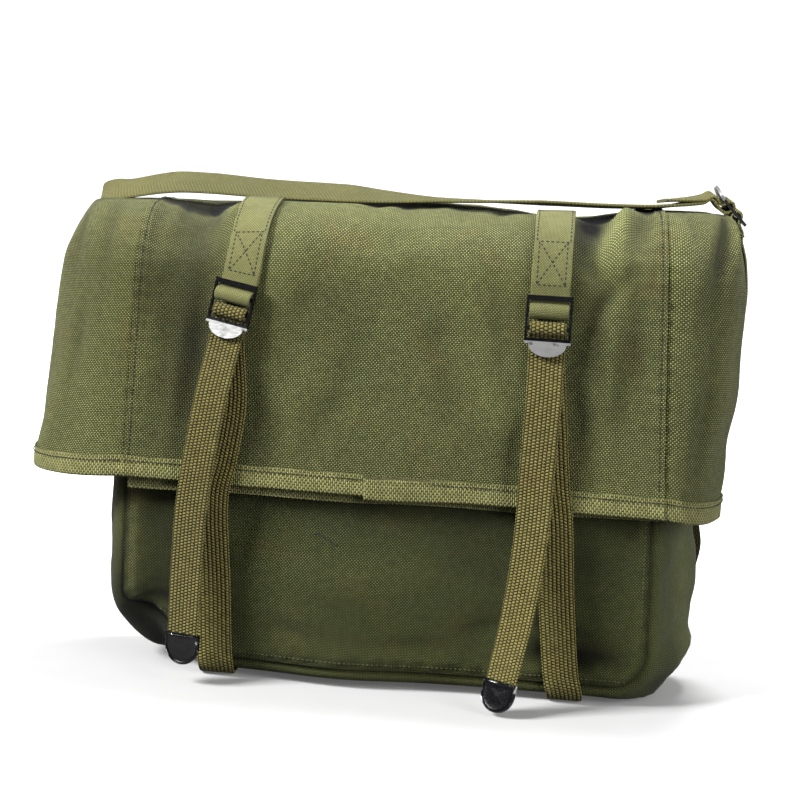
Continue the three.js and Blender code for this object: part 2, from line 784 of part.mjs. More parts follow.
const carryStations = [
  ...carryLower.map(onTop),
  inCarryFrame({ up: carryTurn.up, out: carryTurn.lower }),
  ...carryThread.map(inCarryFrame),
  inCarryFrame({ up: carryTurn.up, out: carryTurn.upper }),
  ...carryUpper.map(onTop),
];
add("carry_strap", webbingAlong(carryStations, carryWide, strapThick).geometry, webbing);

// The carrying strap's chape: from its buckle down the back of the right wing
const carryTab = [
  { round: 112, up: 0.7, lift: 1.5 },
  { round: 116, up: 0.61, lift: 0 },
  { round: 120, up: 0.52, lift: 0 },
  { round: 122, up: 0.44, lift: 0 },
];
const carryFold = [
  { up: 3, out: 2.2 },
  { up: 7, out: -1.2 },
];
const onWing = (row) => ({
  at: flapWing(1, row.round, row.up, row.lift + 2 * air + chapeThick / 2),
  across: flapWing(1, row.round - 1, row.up, 0).sub(flapWing(1, row.round + 1, row.up, 0)),
});
const tabStations = [
  ...chapeThread.slice(1, -2).map(inCarryFrame),
  ...carryFold.map(inCarryFrame),
  ...carryTab.map(onWing),
];
add("carry_chape", webbingAlong(tabStations, carryWide, chapeThick).geometry, webbing);

// The part's origin is the middle of its lowest level
const extent = new THREE.Box3().setFromObject(root);
const middle = extent.getCenter(new THREE.Vector3());
for (const mesh of root.children) {
  mesh.geometry.translate(-middle.x, -middle.y, -extent.min.z);
}

export default root;
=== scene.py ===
import math

import bmesh
import bpy
import numpy as np
from mathutils import Matrix


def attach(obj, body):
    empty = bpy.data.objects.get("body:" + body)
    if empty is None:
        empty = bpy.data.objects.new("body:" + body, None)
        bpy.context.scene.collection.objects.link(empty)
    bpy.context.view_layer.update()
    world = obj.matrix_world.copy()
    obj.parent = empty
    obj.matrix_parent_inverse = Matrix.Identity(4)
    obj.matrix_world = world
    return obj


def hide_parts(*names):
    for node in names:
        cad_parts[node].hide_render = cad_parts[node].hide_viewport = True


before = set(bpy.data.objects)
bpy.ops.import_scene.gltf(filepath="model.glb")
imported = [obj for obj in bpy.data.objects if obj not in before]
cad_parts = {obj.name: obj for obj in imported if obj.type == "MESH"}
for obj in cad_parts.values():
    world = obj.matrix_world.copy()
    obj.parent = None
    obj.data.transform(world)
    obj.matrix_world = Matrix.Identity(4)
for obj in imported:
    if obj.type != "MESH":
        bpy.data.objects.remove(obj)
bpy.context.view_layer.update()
print("frame loaded")

# Sizes shared by the pieces, in millimetres, in the maker's frame: x to the right, y to the back, z up
pack = {
    "canvas": 1.6,
    "tape": 1.0,
    "air": 0.4,
    "leanLeft": 9.0,
    "shoulderDrop": 8.0,
    "settleHeight": 300.0,
    "bagHalf": 170.0,
    "bagShift": 4.0,
    "shift": (9.177, 20.198, 0.016),
    "strapWide": 22.0,
    "strapThick": 1.9,
    "chapeWide": 24.0,
    "chapeThick": 1.6,
    "carryWide": 25.0,
}
toMetres = 0.001
uvScale = 0.01  # one unit of the weave's UV map is 100 mm
weldGap = 2e-6

photoCamera = {
    "azimuth": 3.0,
    "distance": 1500.0,
    "height": 372.0,
    "target": (0.0, -30.0, 178.0),
    "roll": 3.9,
    "focalPixels": 2430.0,
    "framePixels": 800.0,
    "sensor": 36.0,
    "clip": (0.05, 60.0),
}


# Unit vector of a vector, along the last axis
def unit(v):
    return v / np.maximum(np.linalg.norm(v, axis=-1, keepdims=True), 1e-9)


# Where a point of the upright pack ends up: x leans left with height, z drops on the left shoulder, then metres
def settled(points):
    x, y, z = np.moveaxis(np.asarray(points, float), -1, 0)
    up = z / pack["settleHeight"]
    x = x + pack["leanLeft"] * (0.5 - up)
    z = z + pack["shoulderDrop"] * up**3 * x / pack["bagHalf"]
    return (np.stack([x, y, z], axis=-1) + np.array(pack["shift"])) * toMetres


# The camera stands at an azimuth, distance and height round its target and is rolled about its line of sight
def makeCamera():
    turn = math.radians(photoCamera["azimuth"])
    roll = math.radians(photoCamera["roll"])
    shift = np.array(pack["shift"])
    target = np.array(photoCamera["target"]) + shift
    eye = target + photoCamera["distance"] * np.array([math.sin(turn), -math.cos(turn), 0.0])
    eye[2] = photoCamera["height"] + shift[2]
    ahead = unit(target - eye)
    right = unit(np.cross(ahead, [0.0, 0.0, 1.0]))
    up = np.cross(right, ahead)
    rolledRight = right * math.cos(roll) + up * math.sin(roll)
    rolledUp = up * math.cos(roll) - right * math.sin(roll)
    data = bpy.data.cameras.new("photo_camera")
    data.sensor_width = photoCamera["sensor"]
    data.lens = photoCamera["focalPixels"] / photoCamera["framePixels"] * photoCamera["sensor"]
    data.clip_start, data.clip_end = photoCamera["clip"]
    camera = bpy.data.objects.new("photo_camera", data)
    bpy.context.scene.collection.objects.link(camera)
    matrix = np.eye(4)
    matrix[:3] = np.stack([rolledRight, rolledUp, -ahead, eye * toMetres], axis=1)
    camera.matrix_world = Matrix(matrix.tolist())
    bpy.context.scene.camera = camera


makeCamera()
print("camera set")


# Faces of a sheet of rows by columns, each by the numbers of its four corners
def gridFaces(rows, columns, start=0):
    index = start + np.arange(rows * columns).reshape(rows, columns)
    return np.stack([index[:-1, :-1], index[:-1, 1:], index[1:, 1:], index[1:, :-1]], axis=-1).reshape(-1, 4)


# A mesh object from corner points in metres and faces; faces are turned out by the sign of the volume
def makePiece(name, points, faces, uv=None, materials=(), faceMaterial=None, weld=0.0, sharp=None, tone=None):
    points = np.asarray(points, float)
    halves = [f[:, :3] for f in faces] + [f[:, [0, 2, 3]] for f in faces if f.shape[1] == 4]
    a, b, c = np.moveaxis(points[np.concatenate(halves)], 1, 0)
    volume = (a * np.cross(b, c)).sum()
    corners = [row for f in faces for row in (f if volume > 0 else f[:, ::-1]).tolist()]
    mesh = bpy.data.meshes.new(name)
    mesh.from_pydata(points.tolist(), [], corners)
    if uv is not None:
        layer = mesh.uv_layers.new(name="weave")
        loopVertex = np.zeros(len(mesh.loops), np.int32)
        mesh.loops.foreach_get("vertex_index", loopVertex)
        layer.data.foreach_set("uv", np.asarray(uv, float)[loopVertex].ravel())
    mesh.polygons.foreach_set("use_smooth", np.ones(len(mesh.polygons), bool))
    for material in materials:
        mesh.materials.append(material)
    if faceMaterial is not None:
        mesh.polygons.foreach_set("material_index", np.asarray(faceMaterial, np.int32))
    if tone is not None:
        mesh.attributes.new("tone", "FLOAT", "POINT").data.foreach_set("value", np.asarray(tone, np.float32).ravel())
    if weld:
        work = bmesh.new()
        work.from_mesh(mesh)
        bmesh.ops.remove_doubles(work, verts=work.verts, dist=weld)
        work.to_mesh(mesh)
        work.free()
    if sharp is not None:
        mesh.set_sharp_from_angle(angle=math.radians(sharp))
    mesh.validate()
    piece = bpy.data.objects.new(name, mesh)
    bpy.context.scene.collection.objects.link(piece)
    return piece


def settle(piece, slot, *nodes):
    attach(piece, "root")
    if nodes:
        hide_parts(*nodes)
    return piece


# A closed cloth wall: the outer grid, the inner grid turned round, and a strip along each of the four rims
def clothPiece(name, outer, inner, uv, material, weld=0.0, sharp=40, tone=None):
    rows, columns = outer.shape[:2]
    count = rows * columns
    index = np.arange(count).reshape(rows, columns)
    rims = []
    for edge in (index[0, :], index[:, -1], index[-1, ::-1], index[::-1, 0]):
        rims.append(np.stack([edge[1:], edge[:-1], edge[:-1] + count, edge[1:] + count], axis=-1))
    faces = [gridFaces(rows, columns), gridFaces(rows, columns, count)[:, ::-1], *rims]
    points = np.concatenate([outer.reshape(-1, 3), inner.reshape(-1, 3)])
    both = np.concatenate([uv.reshape(-1, 2), uv.reshape(-1, 2)])
    tones = None if tone is None else np.concatenate([tone.ravel(), tone.ravel()])
    return makePiece(name, settled(points), faces, both, [material], weld=weld, sharp=sharp, tone=tones)


# A path of stretches, each with a length and a turn: the place and heading at given distances along it
def walk(stretches, start, distance):
    distance = np.asarray(distance, float)
    a = np.full(distance.shape, start[0])
    b = np.full(distance.shape, start[1])
    heading = np.full(distance.shape, math.radians(start[2]))
    left = distance.copy()
    for i, (run, turn) in enumerate(stretches):
        go = left if i == len(stretches) - 1 else np.minimum(left, run)
        if turn == 0:
            a = a + go * np.cos(heading)
            b = b + go * np.sin(heading)
        else:
            radius = run / math.radians(turn)
            bend = go / radius
            a = a + radius * (np.sin(heading + bend) - np.sin(heading))
            b = b + radius * (np.cos(heading) - np.cos(heading + bend))
            heading = heading + bend
        left = left - go
    return a, b, heading


# The value of a table's column between its rows, eased at each row
def tableAt(rows, at, column):
    keys = np.array([row[0] for row in rows], float)
    values = np.array([row[column] for row in rows], float)
    at = np.clip(at, keys[0], keys[-1])
    low = np.clip(np.searchsorted(keys, at, side="right") - 1, 0, len(keys) - 2)
    share = (at - keys[low]) / (keys[low + 1] - keys[low])
    return values[low] + (values[low + 1] - values[low]) * share * share * (3 - 2 * share)


# Eased step from 0 at low to 1 at high: three times the square of the share between them less twice its cube
def ease(value, low, high):
    share = np.clip((value - low) / (high - low), 0, 1)
    return share * share * (3 - 2 * share)


# A bell, 1 in the middle and near 0 past its half widths: the falling exponent of the two squared distances
def bell(p, wide, q, tall):
    return np.exp(-((p / wide) ** 2) - (q / tall) ** 2)


# Sum of leaning bells, a row of (across, along, wide, tall, lean, depth) for each
def dents(rows, x, along):
    total = np.zeros(np.broadcast(x, along).shape)
    for across, at, wide, tall, lean, depth in rows:
        cos, sin = math.cos(math.radians(lean)), math.sin(math.radians(lean))
        p = (x - across) * cos - (along - at) * sin
        q = (x - across) * sin + (along - at) * cos
        total = total + depth * bell(p, wide, q, tall)
    return total


# Slow uneven ripple of slack cloth: a sum of sine waves with random directions, lengths and starts
def ripple(seed, x, y, shortest, longest, count=18):
    draw = np.random.default_rng(seed)
    total = np.zeros(np.broadcast(x, y).shape)
    for _ in range(count):
        turn, start = draw.uniform(0, 2 * math.pi, 2)
        length = shortest * (longest / shortest) ** draw.uniform()
        wave = 2 * math.pi * (x * math.cos(turn) + y * math.sin(turn)) / length
        total = total + length / longest * np.sin(wave + start)
    return total / math.sqrt(count)


# Distance run along a line of points, the sum of the steps between them, from 0 at the first
def runAlong(points):
    return np.concatenate([[0], np.cumsum(np.linalg.norm(np.diff(points, axis=0), axis=1))])


# Places on a line at given distances of its run, straight between its points
def layAlong(at, run, values):
    return np.stack([np.interp(at, run, values[:, k]) for k in range(3)], axis=-1)


# Faces of a closed profile carried along a path: each ring is joined to the next, all the way round
def ringFaces(index):
    after = np.roll(index, -1, 1)
    return np.stack([index[:-1], after[:-1], after[1:], index[1:]], axis=-1).reshape(-1, 4)


# Flat ends of a carried profile whose second half goes back over its first, as strips of four corners
def endCaps(index):
    half = index.shape[1] // 2
    return [
        np.stack([row[:half - 1], row[1:half], row[::-1][1:half], row[::-1][:half - 1]], axis=-1)
        for row in (index[0, ::-1], index[-1])
    ]


# Materials

# A node with some of its sockets set or linked; a value that is a socket is linked
def addNode(tree, kind, sockets=(), **settings):
    node = tree.nodes.new(kind)
    for key, value in settings.items():
        setattr(node, key, value)
    for key, value in dict(sockets).items():
        if isinstance(value, bpy.types.NodeSocket):
            tree.links.new(value, node.inputs[key])
        else:
            node.inputs[key].default_value = value
    return node


# One step of arithmetic between values or sockets
def mathNode(tree, operation, *values):
    return addNode(tree, "ShaderNodeMath", enumerate(values), operation=operation).outputs[0]


# Two colours mixed by a factor
def mixColour(tree, factor, a, b):
    return addNode(tree, "ShaderNodeMix", {0: factor, 6: a, 7: b}, data_type="RGBA").outputs[2]


# A value's eased place between two limits, carried over to two other limits
def rangeNode(tree, value, fromLow, fromHigh, toLow=0.0, toHigh=1.0):
    sockets = {0: value, 1: fromLow, 2: fromHigh, 3: toLow, 4: toHigh}
    return addNode(tree, "ShaderNodeMapRange", sockets, interpolation_type="SMOOTHSTEP").outputs[0]


# Noise of a scale and detail in the space of a vector
def noiseNode(tree, vector, scale, detail=3.0, roughness=0.55):
    sockets = {"Vector": vector, "Scale": scale, "Detail": detail, "Roughness": roughness}
    return addNode(tree, "ShaderNodeTexNoise", sockets).outputs[0]


# Linear colour of a hex value: each channel through the screen's curve, with full cover
def colour(hexValue):
    channels = [int(hexValue[i:i + 2], 16) / 255 for i in (0, 2, 4)]
    return tuple(c / 12.92 if c <= 0.04045 else ((c + 0.055) / 1.055) ** 2.4 for c in channels) + (1.0,)


# A new material with one principled shader on its output
def newMaterial(name):
    material = bpy.data.materials.new(name)
    material.use_nodes = True
    tree = material.node_tree
    tree.nodes.clear()
    output = tree.nodes.new("ShaderNodeOutputMaterial")
    shader = tree.nodes.new("ShaderNodeBsdfPrincipled")
    tree.links.new(shader.outputs[0], output.inputs[0])
    return material, tree, shader


# Limits that all woven cloth shares, as low and high of the value and then of the result
weaveLimits = {
    "lit": (-0.2, 0.8),
    "slub": (0.25, 0.75, 0.6, 1.2),
    "patch": (0.36, 0.64),
    "stain": (0.52, 0.74, 0.0),
    "rough": (0.3, 0.7, 0.82, 0.97),
}
weaveFinish = {"fuzz": 0.35, "fuzzScale": 4.0, "crown": 0.6, "shine": 0.15, "sheenRough": 0.5}


# A bump of a strength and depth, in metres, on the shader's normal
def addBump(tree, shader, strength, depth, height):
    bump = addNode(tree, "ShaderNodeBump", {"Strength": strength, "Distance": depth, "Height": height})
    tree.links.new(bump.outputs[0], shader.inputs["Normal"])


# Woven cloth: warp and weft cross in a checker of sin(u) times sin(v); positive cells show the light yarn on top,
# partly the yarn's own paler colour and partly a painted highlight on the yarn tops, the corners between cells are
# darkened as painted shade in the gaps between yarns, and slow noise in the cloth's own frame fades and stains it. A
# chevron slants the cells of each column against its neighbours, by a share of the column's width
def wovenMaterial(look):
    material, tree, shader = newMaterial(look["name"])
    uv = addNode(tree, "ShaderNodeUVMap", uv_map="weave").outputs[0]
    place = addNode(tree, "ShaderNodeTexCoord").outputs["Object"]
    jitter = noiseNode(tree, uv, look["wander"], 2.0)
    u, v, _ = addNode(tree, "ShaderNodeSeparateXYZ", {0: uv}).outputs
    sway = mathNode(tree, "MULTIPLY", mathNode(tree, "SUBTRACT", jitter, 0.5), look["sway"])
    turnU = mathNode(tree, "MULTIPLY_ADD", u, math.pi / (look["warp"] * uvScale), sway)
    slant = mathNode(tree, "PINGPONG", u, look["warp"] * look["chevronSpan"] * uvScale)
    v = mathNode(tree, "MULTIPLY_ADD", slant, look["chevron"], v)
    column = mathNode(tree, "FLOOR", mathNode(tree, "DIVIDE", turnU, math.pi))
    odd = mathNode(tree, "FLOORED_MODULO", column, 2.0)
    v = mathNode(tree, "MULTIPLY_ADD", odd, look["stagger"] * look["weft"] * uvScale, v)
    turnV = mathNode(tree, "MULTIPLY_ADD", v, math.pi / (look["weft"] * uvScale), sway)
    warp = mathNode(tree, "SINE", turnU)
    weft = mathNode(tree, "SINE", turnV)
    cross = mathNode(tree, "MULTIPLY", warp, weft)
    height = mathNode(tree, "ABSOLUTE", cross)
    slub = noiseNode(tree, uv, look["slub"], 2.0)
    lit = rangeNode(tree, height if look["even"] else cross, *weaveLimits["lit"])
    lit = mathNode(tree, "MULTIPLY", lit, rangeNode(tree, slub, *weaveLimits["slub"]))
    hole = rangeNode(tree, height, 0.0, look["holeEdge"], 1.0, 0.0)
    large = noiseNode(tree, place, look["patch"], 4.0, 0.6)
    small = noiseNode(tree, place, look["blotch"], 3.0, 0.6)
    faded = rangeNode(tree, large, *weaveLimits["patch"])
    stained = rangeNode(tree, small, *weaveLimits["stain"], look["stain"])
    body = mixColour(tree, faded, colour(look["shade"]), colour(look["base"]))
    body = mixColour(tree, stained, body, colour(look["brown"]))
    body = mixColour(tree, mathNode(tree, "MULTIPLY", lit, look["yarn"]), body, colour(look["light"]))
    body = mixColour(tree, mathNode(tree, "MULTIPLY", hole, look["hole"]), body, colour(look["dark"]))
    # The tone attribute scales the colour: painted shade where it is below 0 and painted light where it is above 0
    tone = addNode(tree, "ShaderNodeAttribute", attribute_name="tone").outputs["Fac"]
    toned = mathNode(tree, "ADD", tone, 1.0)
    shade = addNode(tree, "ShaderNodeVectorMath", {0: body, "Scale": toned}, operation="SCALE")
    tree.links.new(shade.outputs[0], shader.inputs["Base Color"])
    tree.links.new(rangeNode(tree, small, *weaveLimits["rough"]), shader.inputs["Roughness"])
    fuzz = noiseNode(tree, uv, look["slub"] * weaveFinish["fuzzScale"], 2.0)
    crown = mathNode(tree, "POWER", height, weaveFinish["crown"])
    relief = mathNode(tree, "MULTIPLY_ADD", fuzz, weaveFinish["fuzz"], crown)
    addBump(tree, shader, look["bump"], look["depth"] * toMetres, relief)
    shader.inputs["Specular IOR Level"].default_value = weaveFinish["shine"]
    shader.inputs["Sheen Weight"].default_value = look["sheen"]
    shader.inputs["Sheen Roughness"].default_value = weaveFinish["sheenRough"]
    return material


flapLook = {
    "name": "flap_canvas", "warp": 1.05, "weft": 1.15, "wander": 3.0, "sway": 0.7, "slub": 22.0, "holeEdge": 0.4,
    "patch": 13.0, "blotch": 34.0, "base": "4d522b", "shade": "414826", "brown": "594a2c", "light": "9d9c64",
    "dark": "0e1007", "stain": 0.5, "yarn": 0.75, "hole": 0.9, "bump": 1.0, "depth": 0.7, "sheen": 0.03,
    "chevron": 0.0, "chevronSpan": 1.0, "even": False, "stagger": 0.0,
}
bagLook = dict(
    flapLook, name="bag_canvas", warp=0.95, weft=1.0, sway=0.6, slub=24.0, base="2f3415", shade="262b11",
    brown="40371f", light="6b6e42", dark="080a04", yarn=0.62, hole=0.85, bump=0.9, depth=0.45, patch=14.0,
    blotch=30.0,
)
gussetLook = dict(
    bagLook, name="gusset_canvas", base="454a24", shade="383e1d", light="7c7e50", yarn=0.6, hole=0.8,
)
webbingLook = dict(
    flapLook, name="closing_webbing", warp=2.5, weft=1.9, wander=4.0, sway=0.6, slub=18.0, holeEdge=0.45, patch=16.0,
    blotch=40.0, base="544e27", shade="494523", brown="51431f", light="857c46", dark="0c0b05", stain=0.35, yarn=0.75,
    hole=0.85, bump=1.0, depth=1.2, chevron=0.12, even=True, stagger=0.5,
)
chapeLook = dict(
    flapLook, name="chape_tape", warp=0.8, weft=0.85, sway=0.8, slub=20.0, holeEdge=0.35, patch=16.0,
    blotch=40.0, base="65663c", shade="5b5d36", brown="615832", light="979568", dark="1d1d0e", stain=0.3, yarn=0.6,
    hole=0.7, bump=0.8, depth=0.4,
)
carryLook = dict(
    chapeLook, name="carrying_webbing", weft=1.1, base="5f5c34", shade="545430", light="85814f", dark="20200f",
    hole=0.75, yarn=0.55, bump=0.9, depth=0.6, chevron=0.9, chevronSpan=40.0,
)
tapeLook = dict(
    flapLook, name="binding_tape", warp=1.3, weft=3.2, wander=4.0, sway=1.2, slub=18.0, patch=15.0, blotch=36.0,
    base="56582e", shade="4d4f29", brown="544926", light="979562", dark="17160a", stain=0.35, yarn=0.75, hole=0.8,
    bump=1.0, depth=0.6, chevron=0.25, even=True, stagger=0.5,
)
# The facing is a little paler than the tape, partly its own colour and partly a painted light that lifts its edge out
# of the shade under the hem
facingLook = dict(tapeLook, name="facing_cloth", base="5d5e35", shade="54572f", light="85835a", brown="564c2a")
edgeLook = dict(
    tapeLook, name="seam_strip", base="24220f", shade="1b1a0c", light="3d381d", brown="2a2110", dark="0c0b05",
)


scratchGrain = {"scale": 900.0, "detail": 4.0, "rough": 0.7, "depth": 0.0002}


# Steel: brushed or enamelled metal with fine scratches and worn patches from noise
def steelMaterial(look):
    material, tree, shader = newMaterial(look["name"])
    place = addNode(tree, "ShaderNodeTexCoord").outputs["Object"]
    drawn = addNode(tree, "ShaderNodeMapping", {"Vector": place, "Scale": look["grain"]}).outputs[0]
    scratch = noiseNode(tree, drawn, scratchGrain["scale"], scratchGrain["detail"], scratchGrain["rough"])
    worn = rangeNode(tree, noiseNode(tree, place, look["wornScale"], 4.0, 0.65), look["wornLow"], look["wornHigh"])
    body = mixColour(tree, worn, colour(look["base"]), colour(look["bare"]))
    tree.links.new(body, shader.inputs["Base Color"])
    tree.links.new(rangeNode(tree, scratch, 0.3, 0.7, look["smooth"], look["rough"]), shader.inputs["Roughness"])
    addBump(tree, shader, look["bump"], scratchGrain["depth"], scratch)
    shader.inputs["Metallic"].default_value = look["metal"]
    shader.inputs["Specular IOR Level"].default_value = look["shine"]
    return material


blackLook = {
    "name": "black_steel", "base": "060608", "bare": "1c1c1e", "grain": (1, 1, 1), "wornScale": 260.0, "wornLow": 0.62,
    "wornHigh": 0.78, "smooth": 0.14, "rough": 0.3, "bump": 0.25, "metal": 0.0, "shine": 0.16,
}
brightLook = {
    "name": "bright_steel", "base": "777776", "bare": "5c5c5c", "grain": (0.1, 1, 1), "wornScale": 90.0,
    "wornLow": 0.45, "wornHigh": 0.9, "smooth": 0.5, "rough": 0.7, "bump": 0.06, "metal": 1.0, "shine": 0.5,
}
rimLook = {
    "name": "rim_steel", "base": "0f0f12", "bare": "b5b5b2", "grain": (1, 1, 1), "wornScale": 130.0, "wornLow": 0.56,
    "wornHigh": 0.64, "smooth": 0.15, "rough": 0.32, "bump": 0.15, "metal": 0.8, "shine": 0.4,
}
threadLook = {"name": "sewing_thread", "base": "0b0b05", "bare": "1a190d"}
paleLook = {"name": "pale_thread", "base": "37381e", "bare": "4f4e2e"}
threadFinish = {"twist": 1400.0, "bump": 0.4, "depth": 0.0002, "rough": 0.85}


# Sewing thread: two shades mixed by a fine noise that also roughens it
def threadMaterial(look):
    material, tree, shader = newMaterial(look["name"])
    place = addNode(tree, "ShaderNodeTexCoord").outputs["Object"]
    twist = noiseNode(tree, place, threadFinish["twist"], 2.0)
    body = mixColour(tree, twist, colour(look["base"]), colour(look["bare"]))
    tree.links.new(body, shader.inputs["Base Color"])
    addBump(tree, shader, threadFinish["bump"], threadFinish["depth"], twist)
    shader.inputs["Roughness"].default_value = threadFinish["rough"]
    return material


flapCloth = wovenMaterial(flapLook)
bagCloth = wovenMaterial(bagLook)
gussetCloth = wovenMaterial(gussetLook)
webbingCloth = wovenMaterial(webbingLook)
chapeCloth = wovenMaterial(chapeLook)
carryCloth = wovenMaterial(carryLook)
tapeCloth = wovenMaterial(tapeLook)
facingCloth = wovenMaterial(facingLook)
edgeCloth = wovenMaterial(edgeLook)
blackSteel = steelMaterial(blackLook)
brightSteel = steelMaterial(brightLook)
rimSteel = steelMaterial(rimLook)
sewingThread = threadMaterial(threadLook)
paleThread = threadMaterial(paleLook)
print("materials ready")

stitchGrid = {"rows": 5, "columns": 7, "reach": 0.3}


# Rows of sewing stitches: each stitch is a small ellipsoid laid along the line and sunk a little in the cloth;
# its grid is a sphere's longitude and latitude scaled to the thread's length and thickness
def stitchPiece(name, lines, look):
    rows, columns, reach = stitchGrid["rows"], stitchGrid["columns"], stitchGrid["reach"]
    longitude, latitude = np.meshgrid(
        np.linspace(0, 2 * math.pi, columns), np.linspace(-math.pi / 2, math.pi / 2, rows)
    )
    belt = np.cos(latitude)
    ball = np.stack([np.sin(latitude), belt * np.cos(longitude), belt * np.sin(longitude)], axis=-1).reshape(-1, 3)
    grid = gridFaces(rows, columns)
    points, faces, first = [], [], 0
    for line in lines:
        run = runAlong(line)
        at = np.arange(look["pitch"] / 2, run[-1], look["pitch"])
        spot = layAlong(at, run, line)
        forward = unit(layAlong(at + reach, run, line) - layAlong(at - reach, run, line))
        side = unit(np.cross(forward, look["facing"]))
        rise = np.cross(side, forward)
        axes = np.stack([forward * look["long"] / 2, side * look["wide"] / 2, rise * look["tall"] / 2], axis=1)
        balls = spot[:, None] + np.einsum("pk,nkc->npc", ball, axes)
        faces.append((grid[None] + first + (np.arange(len(at)) * len(ball))[:, None, None]).reshape(-1, 4))
        points.append(balls.reshape(-1, 3))
        first += len(at) * len(ball)
    piece = makePiece(name, settled(np.concatenate(points)), faces, None, [look["thread"]], weld=weldGap)
    settle(piece, look["slot"])


darkSewing = {
    "pitch": 2.9, "long": 2.0, "wide": 0.95, "tall": 0.6, "facing": (0.0, -1.0, 0.35), "thread": sewingThread,
    "slot": "flap_canvas",
}
chapeSewing = dict(darkSewing, pitch=3.1, long=2.1, slot="webbing")
hemSewing = dict(darkSewing, pitch=2.8, slot="binding_tape")
looseSewing = dict(darkSewing, pitch=2.0, long=2.8, wide=1.1, tall=1.0, slot="bag_canvas")
bagSewing = dict(darkSewing, long=1.8, thread=paleThread, slot="bag_canvas")


# Flap: side profile from the front hem over the top to the back hem, with its dents
flap = {
    "profile": [(126.5, 0), (76, -87), (43, 0), (37.7, -90), (146, 8)],
    "start": (-68.0, 123.5, 87.0),
    "hemTilt": 1.5,
    "seamHem": 166.0,
    "seamTop": 159.0,
    "belly": 3.0,
    "hingeLap": 28.0,
    "domePower": 4.0,
    "wingPower": 0.9,
    "wingSag": 6.0,
    "dents": [
        (124, 172, 9, 42, 6, 11), (112, 168, 8, 34, 4, -4), (118, 116, 7, 22, 32, 4), (140, 84, 9, 36, -4, 5),
        (-142, 128, 15, 50, 4, 6), (-126, 186, 11, 32, -6, 8), (10, 118, 24, 66, -8, 3), (-48, 150, 28, 44, 14, -3),
        (40, 190, 40, 26, 0, 4), (-70, 0, 50, 40, 0, -3), (60, 4, 40, 40, 0, 3),
        (96, 238, 34, 36, 0, 6), (-25, 240, 58, 15, 0, -3), (142, 236, 24, 22, 0, -1), (-122, 150, 22, 70, 0, 7),
        (-76, 140, 22, 52, 0, -5),
    ],
    "creases": [
        (112, 186, 9, 28, 8, 8.0), (130, 178, 7, 36, 8, -9.5), (144, 176, 6, 30, 8, 4.5), (112, 168, 8, 34, 4, 3.0),
        (128, 128, 4, 18, 40, 2.6), (120, 140, 6, 16, -35, 2.4), (134, 140, 5, 24, 12, -2.0),
        (146, 104, 5, 34, -6, 3.2), (132, 96, 6, 34, 4, -2.4), (150, 186, 4, 22, 4, 2.0), (-138, 196, 4, 18, -4, 2.6),
        (-118, 200, 4, 20, -10, 2.6), (-106, 192, 5, 26, 8, -2.2), (-150, 176, 5, 26, 4, 2.6),
        (-20, 198, 6, 22, 10, 1.6), (0, 202, 6, 22, -6, 1.4), (24, 204, 6, 20, 4, -1.0), (58, 200, 6, 24, 8, 1.6),
        (-60, 96, 9, 46, 18, 1.2),
        (-36, 60, 9, 50, 24, 1.8), (30, 72, 9, 46, -16, 1.8), (64, 92, 7, 40, -10, 2.4), (112, 60, 7, 44, -8, 2.4),
        (-126, 70, 9, 50, 6, 3.2), (-144, 60, 7, 46, 4, 2.4), (76, 30, 8, 30, 10, 1.6), (-80, 40, 10, 44, -8, 2.4),
    ],
    # Rows of painted shade and light, (across, along, wide, tall, lean, amount): darker where shade falls beside the
    # seams and in fold valleys, lighter on ridges and on the top
    "tones": [
        (-128, 112, 22, 80, 0, -0.62), (130, 70, 24, 70, 0, -0.2), (113, 182, 9, 24, 6, -0.5),
        (114, 194, 10, 14, 0, -0.3), (-120, 184, 12, 18, 0, -0.25), (122, 116, 9, 36, 8, -0.3),
        (137, 118, 6, 40, 4, 0.2), (133, 180, 6, 26, 8, 0.2), (-90, 20, 90, 30, 0, -0.2), (0, 180, 120, 30, 0, 0.12),
    ],
    # A painted shadow band under the carrying strap: how dark it is, and where along the flap it darkens, is darkest,
    # fades and ends
    "strapShadow": 0.8,
    "strapShade": (200, 211, 222, 240),
    "paintedFoldShade": 0.085,
    "paintedFoldShadeLimits": (-0.3, 0.5),
    # Painted streaks of shade and light, stretched along the flap, that stand in for soft folds
    "paintedStreakShade": 0.1,
    "streakSpan": (14, 70),
    "streakStretch": 0.45,
    "ripple": 0.9,
    "rippleSpan": (18, 80),
    "calm": 12.0,
    "seamPucker": 0.45,
    "puckerPitch": 10.5,
    "puckerSway": (1.3, 17.0),
    "puckerFade": 9.0,
    "seamFold": 1.0,
    "foldEdge": (4.5, 7.5),
    "stitchPull": 0.9,
    "pullWide": 1.1,
    "stitchIn": 3.2,
    "columns": 181,
    "rows": 165,
}
flapLength = sum(run for run, _ in flap["profile"])
flapApex = flap["profile"][0][0] + flap["profile"][1][0] + flap["profile"][2][0] / 2
flapHinge = flapLength - flap["profile"][4][0] + flap["hingeLap"]


# Half the width of the front panel, narrowing evenly from the hem to the apex
def seamHalf(along):
    return flap["seamHem"] + (flap["seamTop"] - flap["seamHem"]) * np.clip(along / flapApex, 0, 1)


# How far the flap's front stands out: a belly of a parabola across by a half sine along, less the dents
def flapRelief(x, along):
    belly = flap["belly"] * (1 - (x / seamHalf(along)) ** 2) * np.sin(math.pi * np.clip(along / flapApex, 0, 1))
    return belly - dents(flap["dents"], x, along)


# Painted fold shading: the cloth's colour is darker in the valleys of the folds and lighter on their ridges, by the
# folds' depth, as painted shade and painted light
def paintedFoldShade(rows, x, along, strength):
    return -np.clip(strength * dents(rows, x, along), *flap["paintedFoldShadeLimits"])


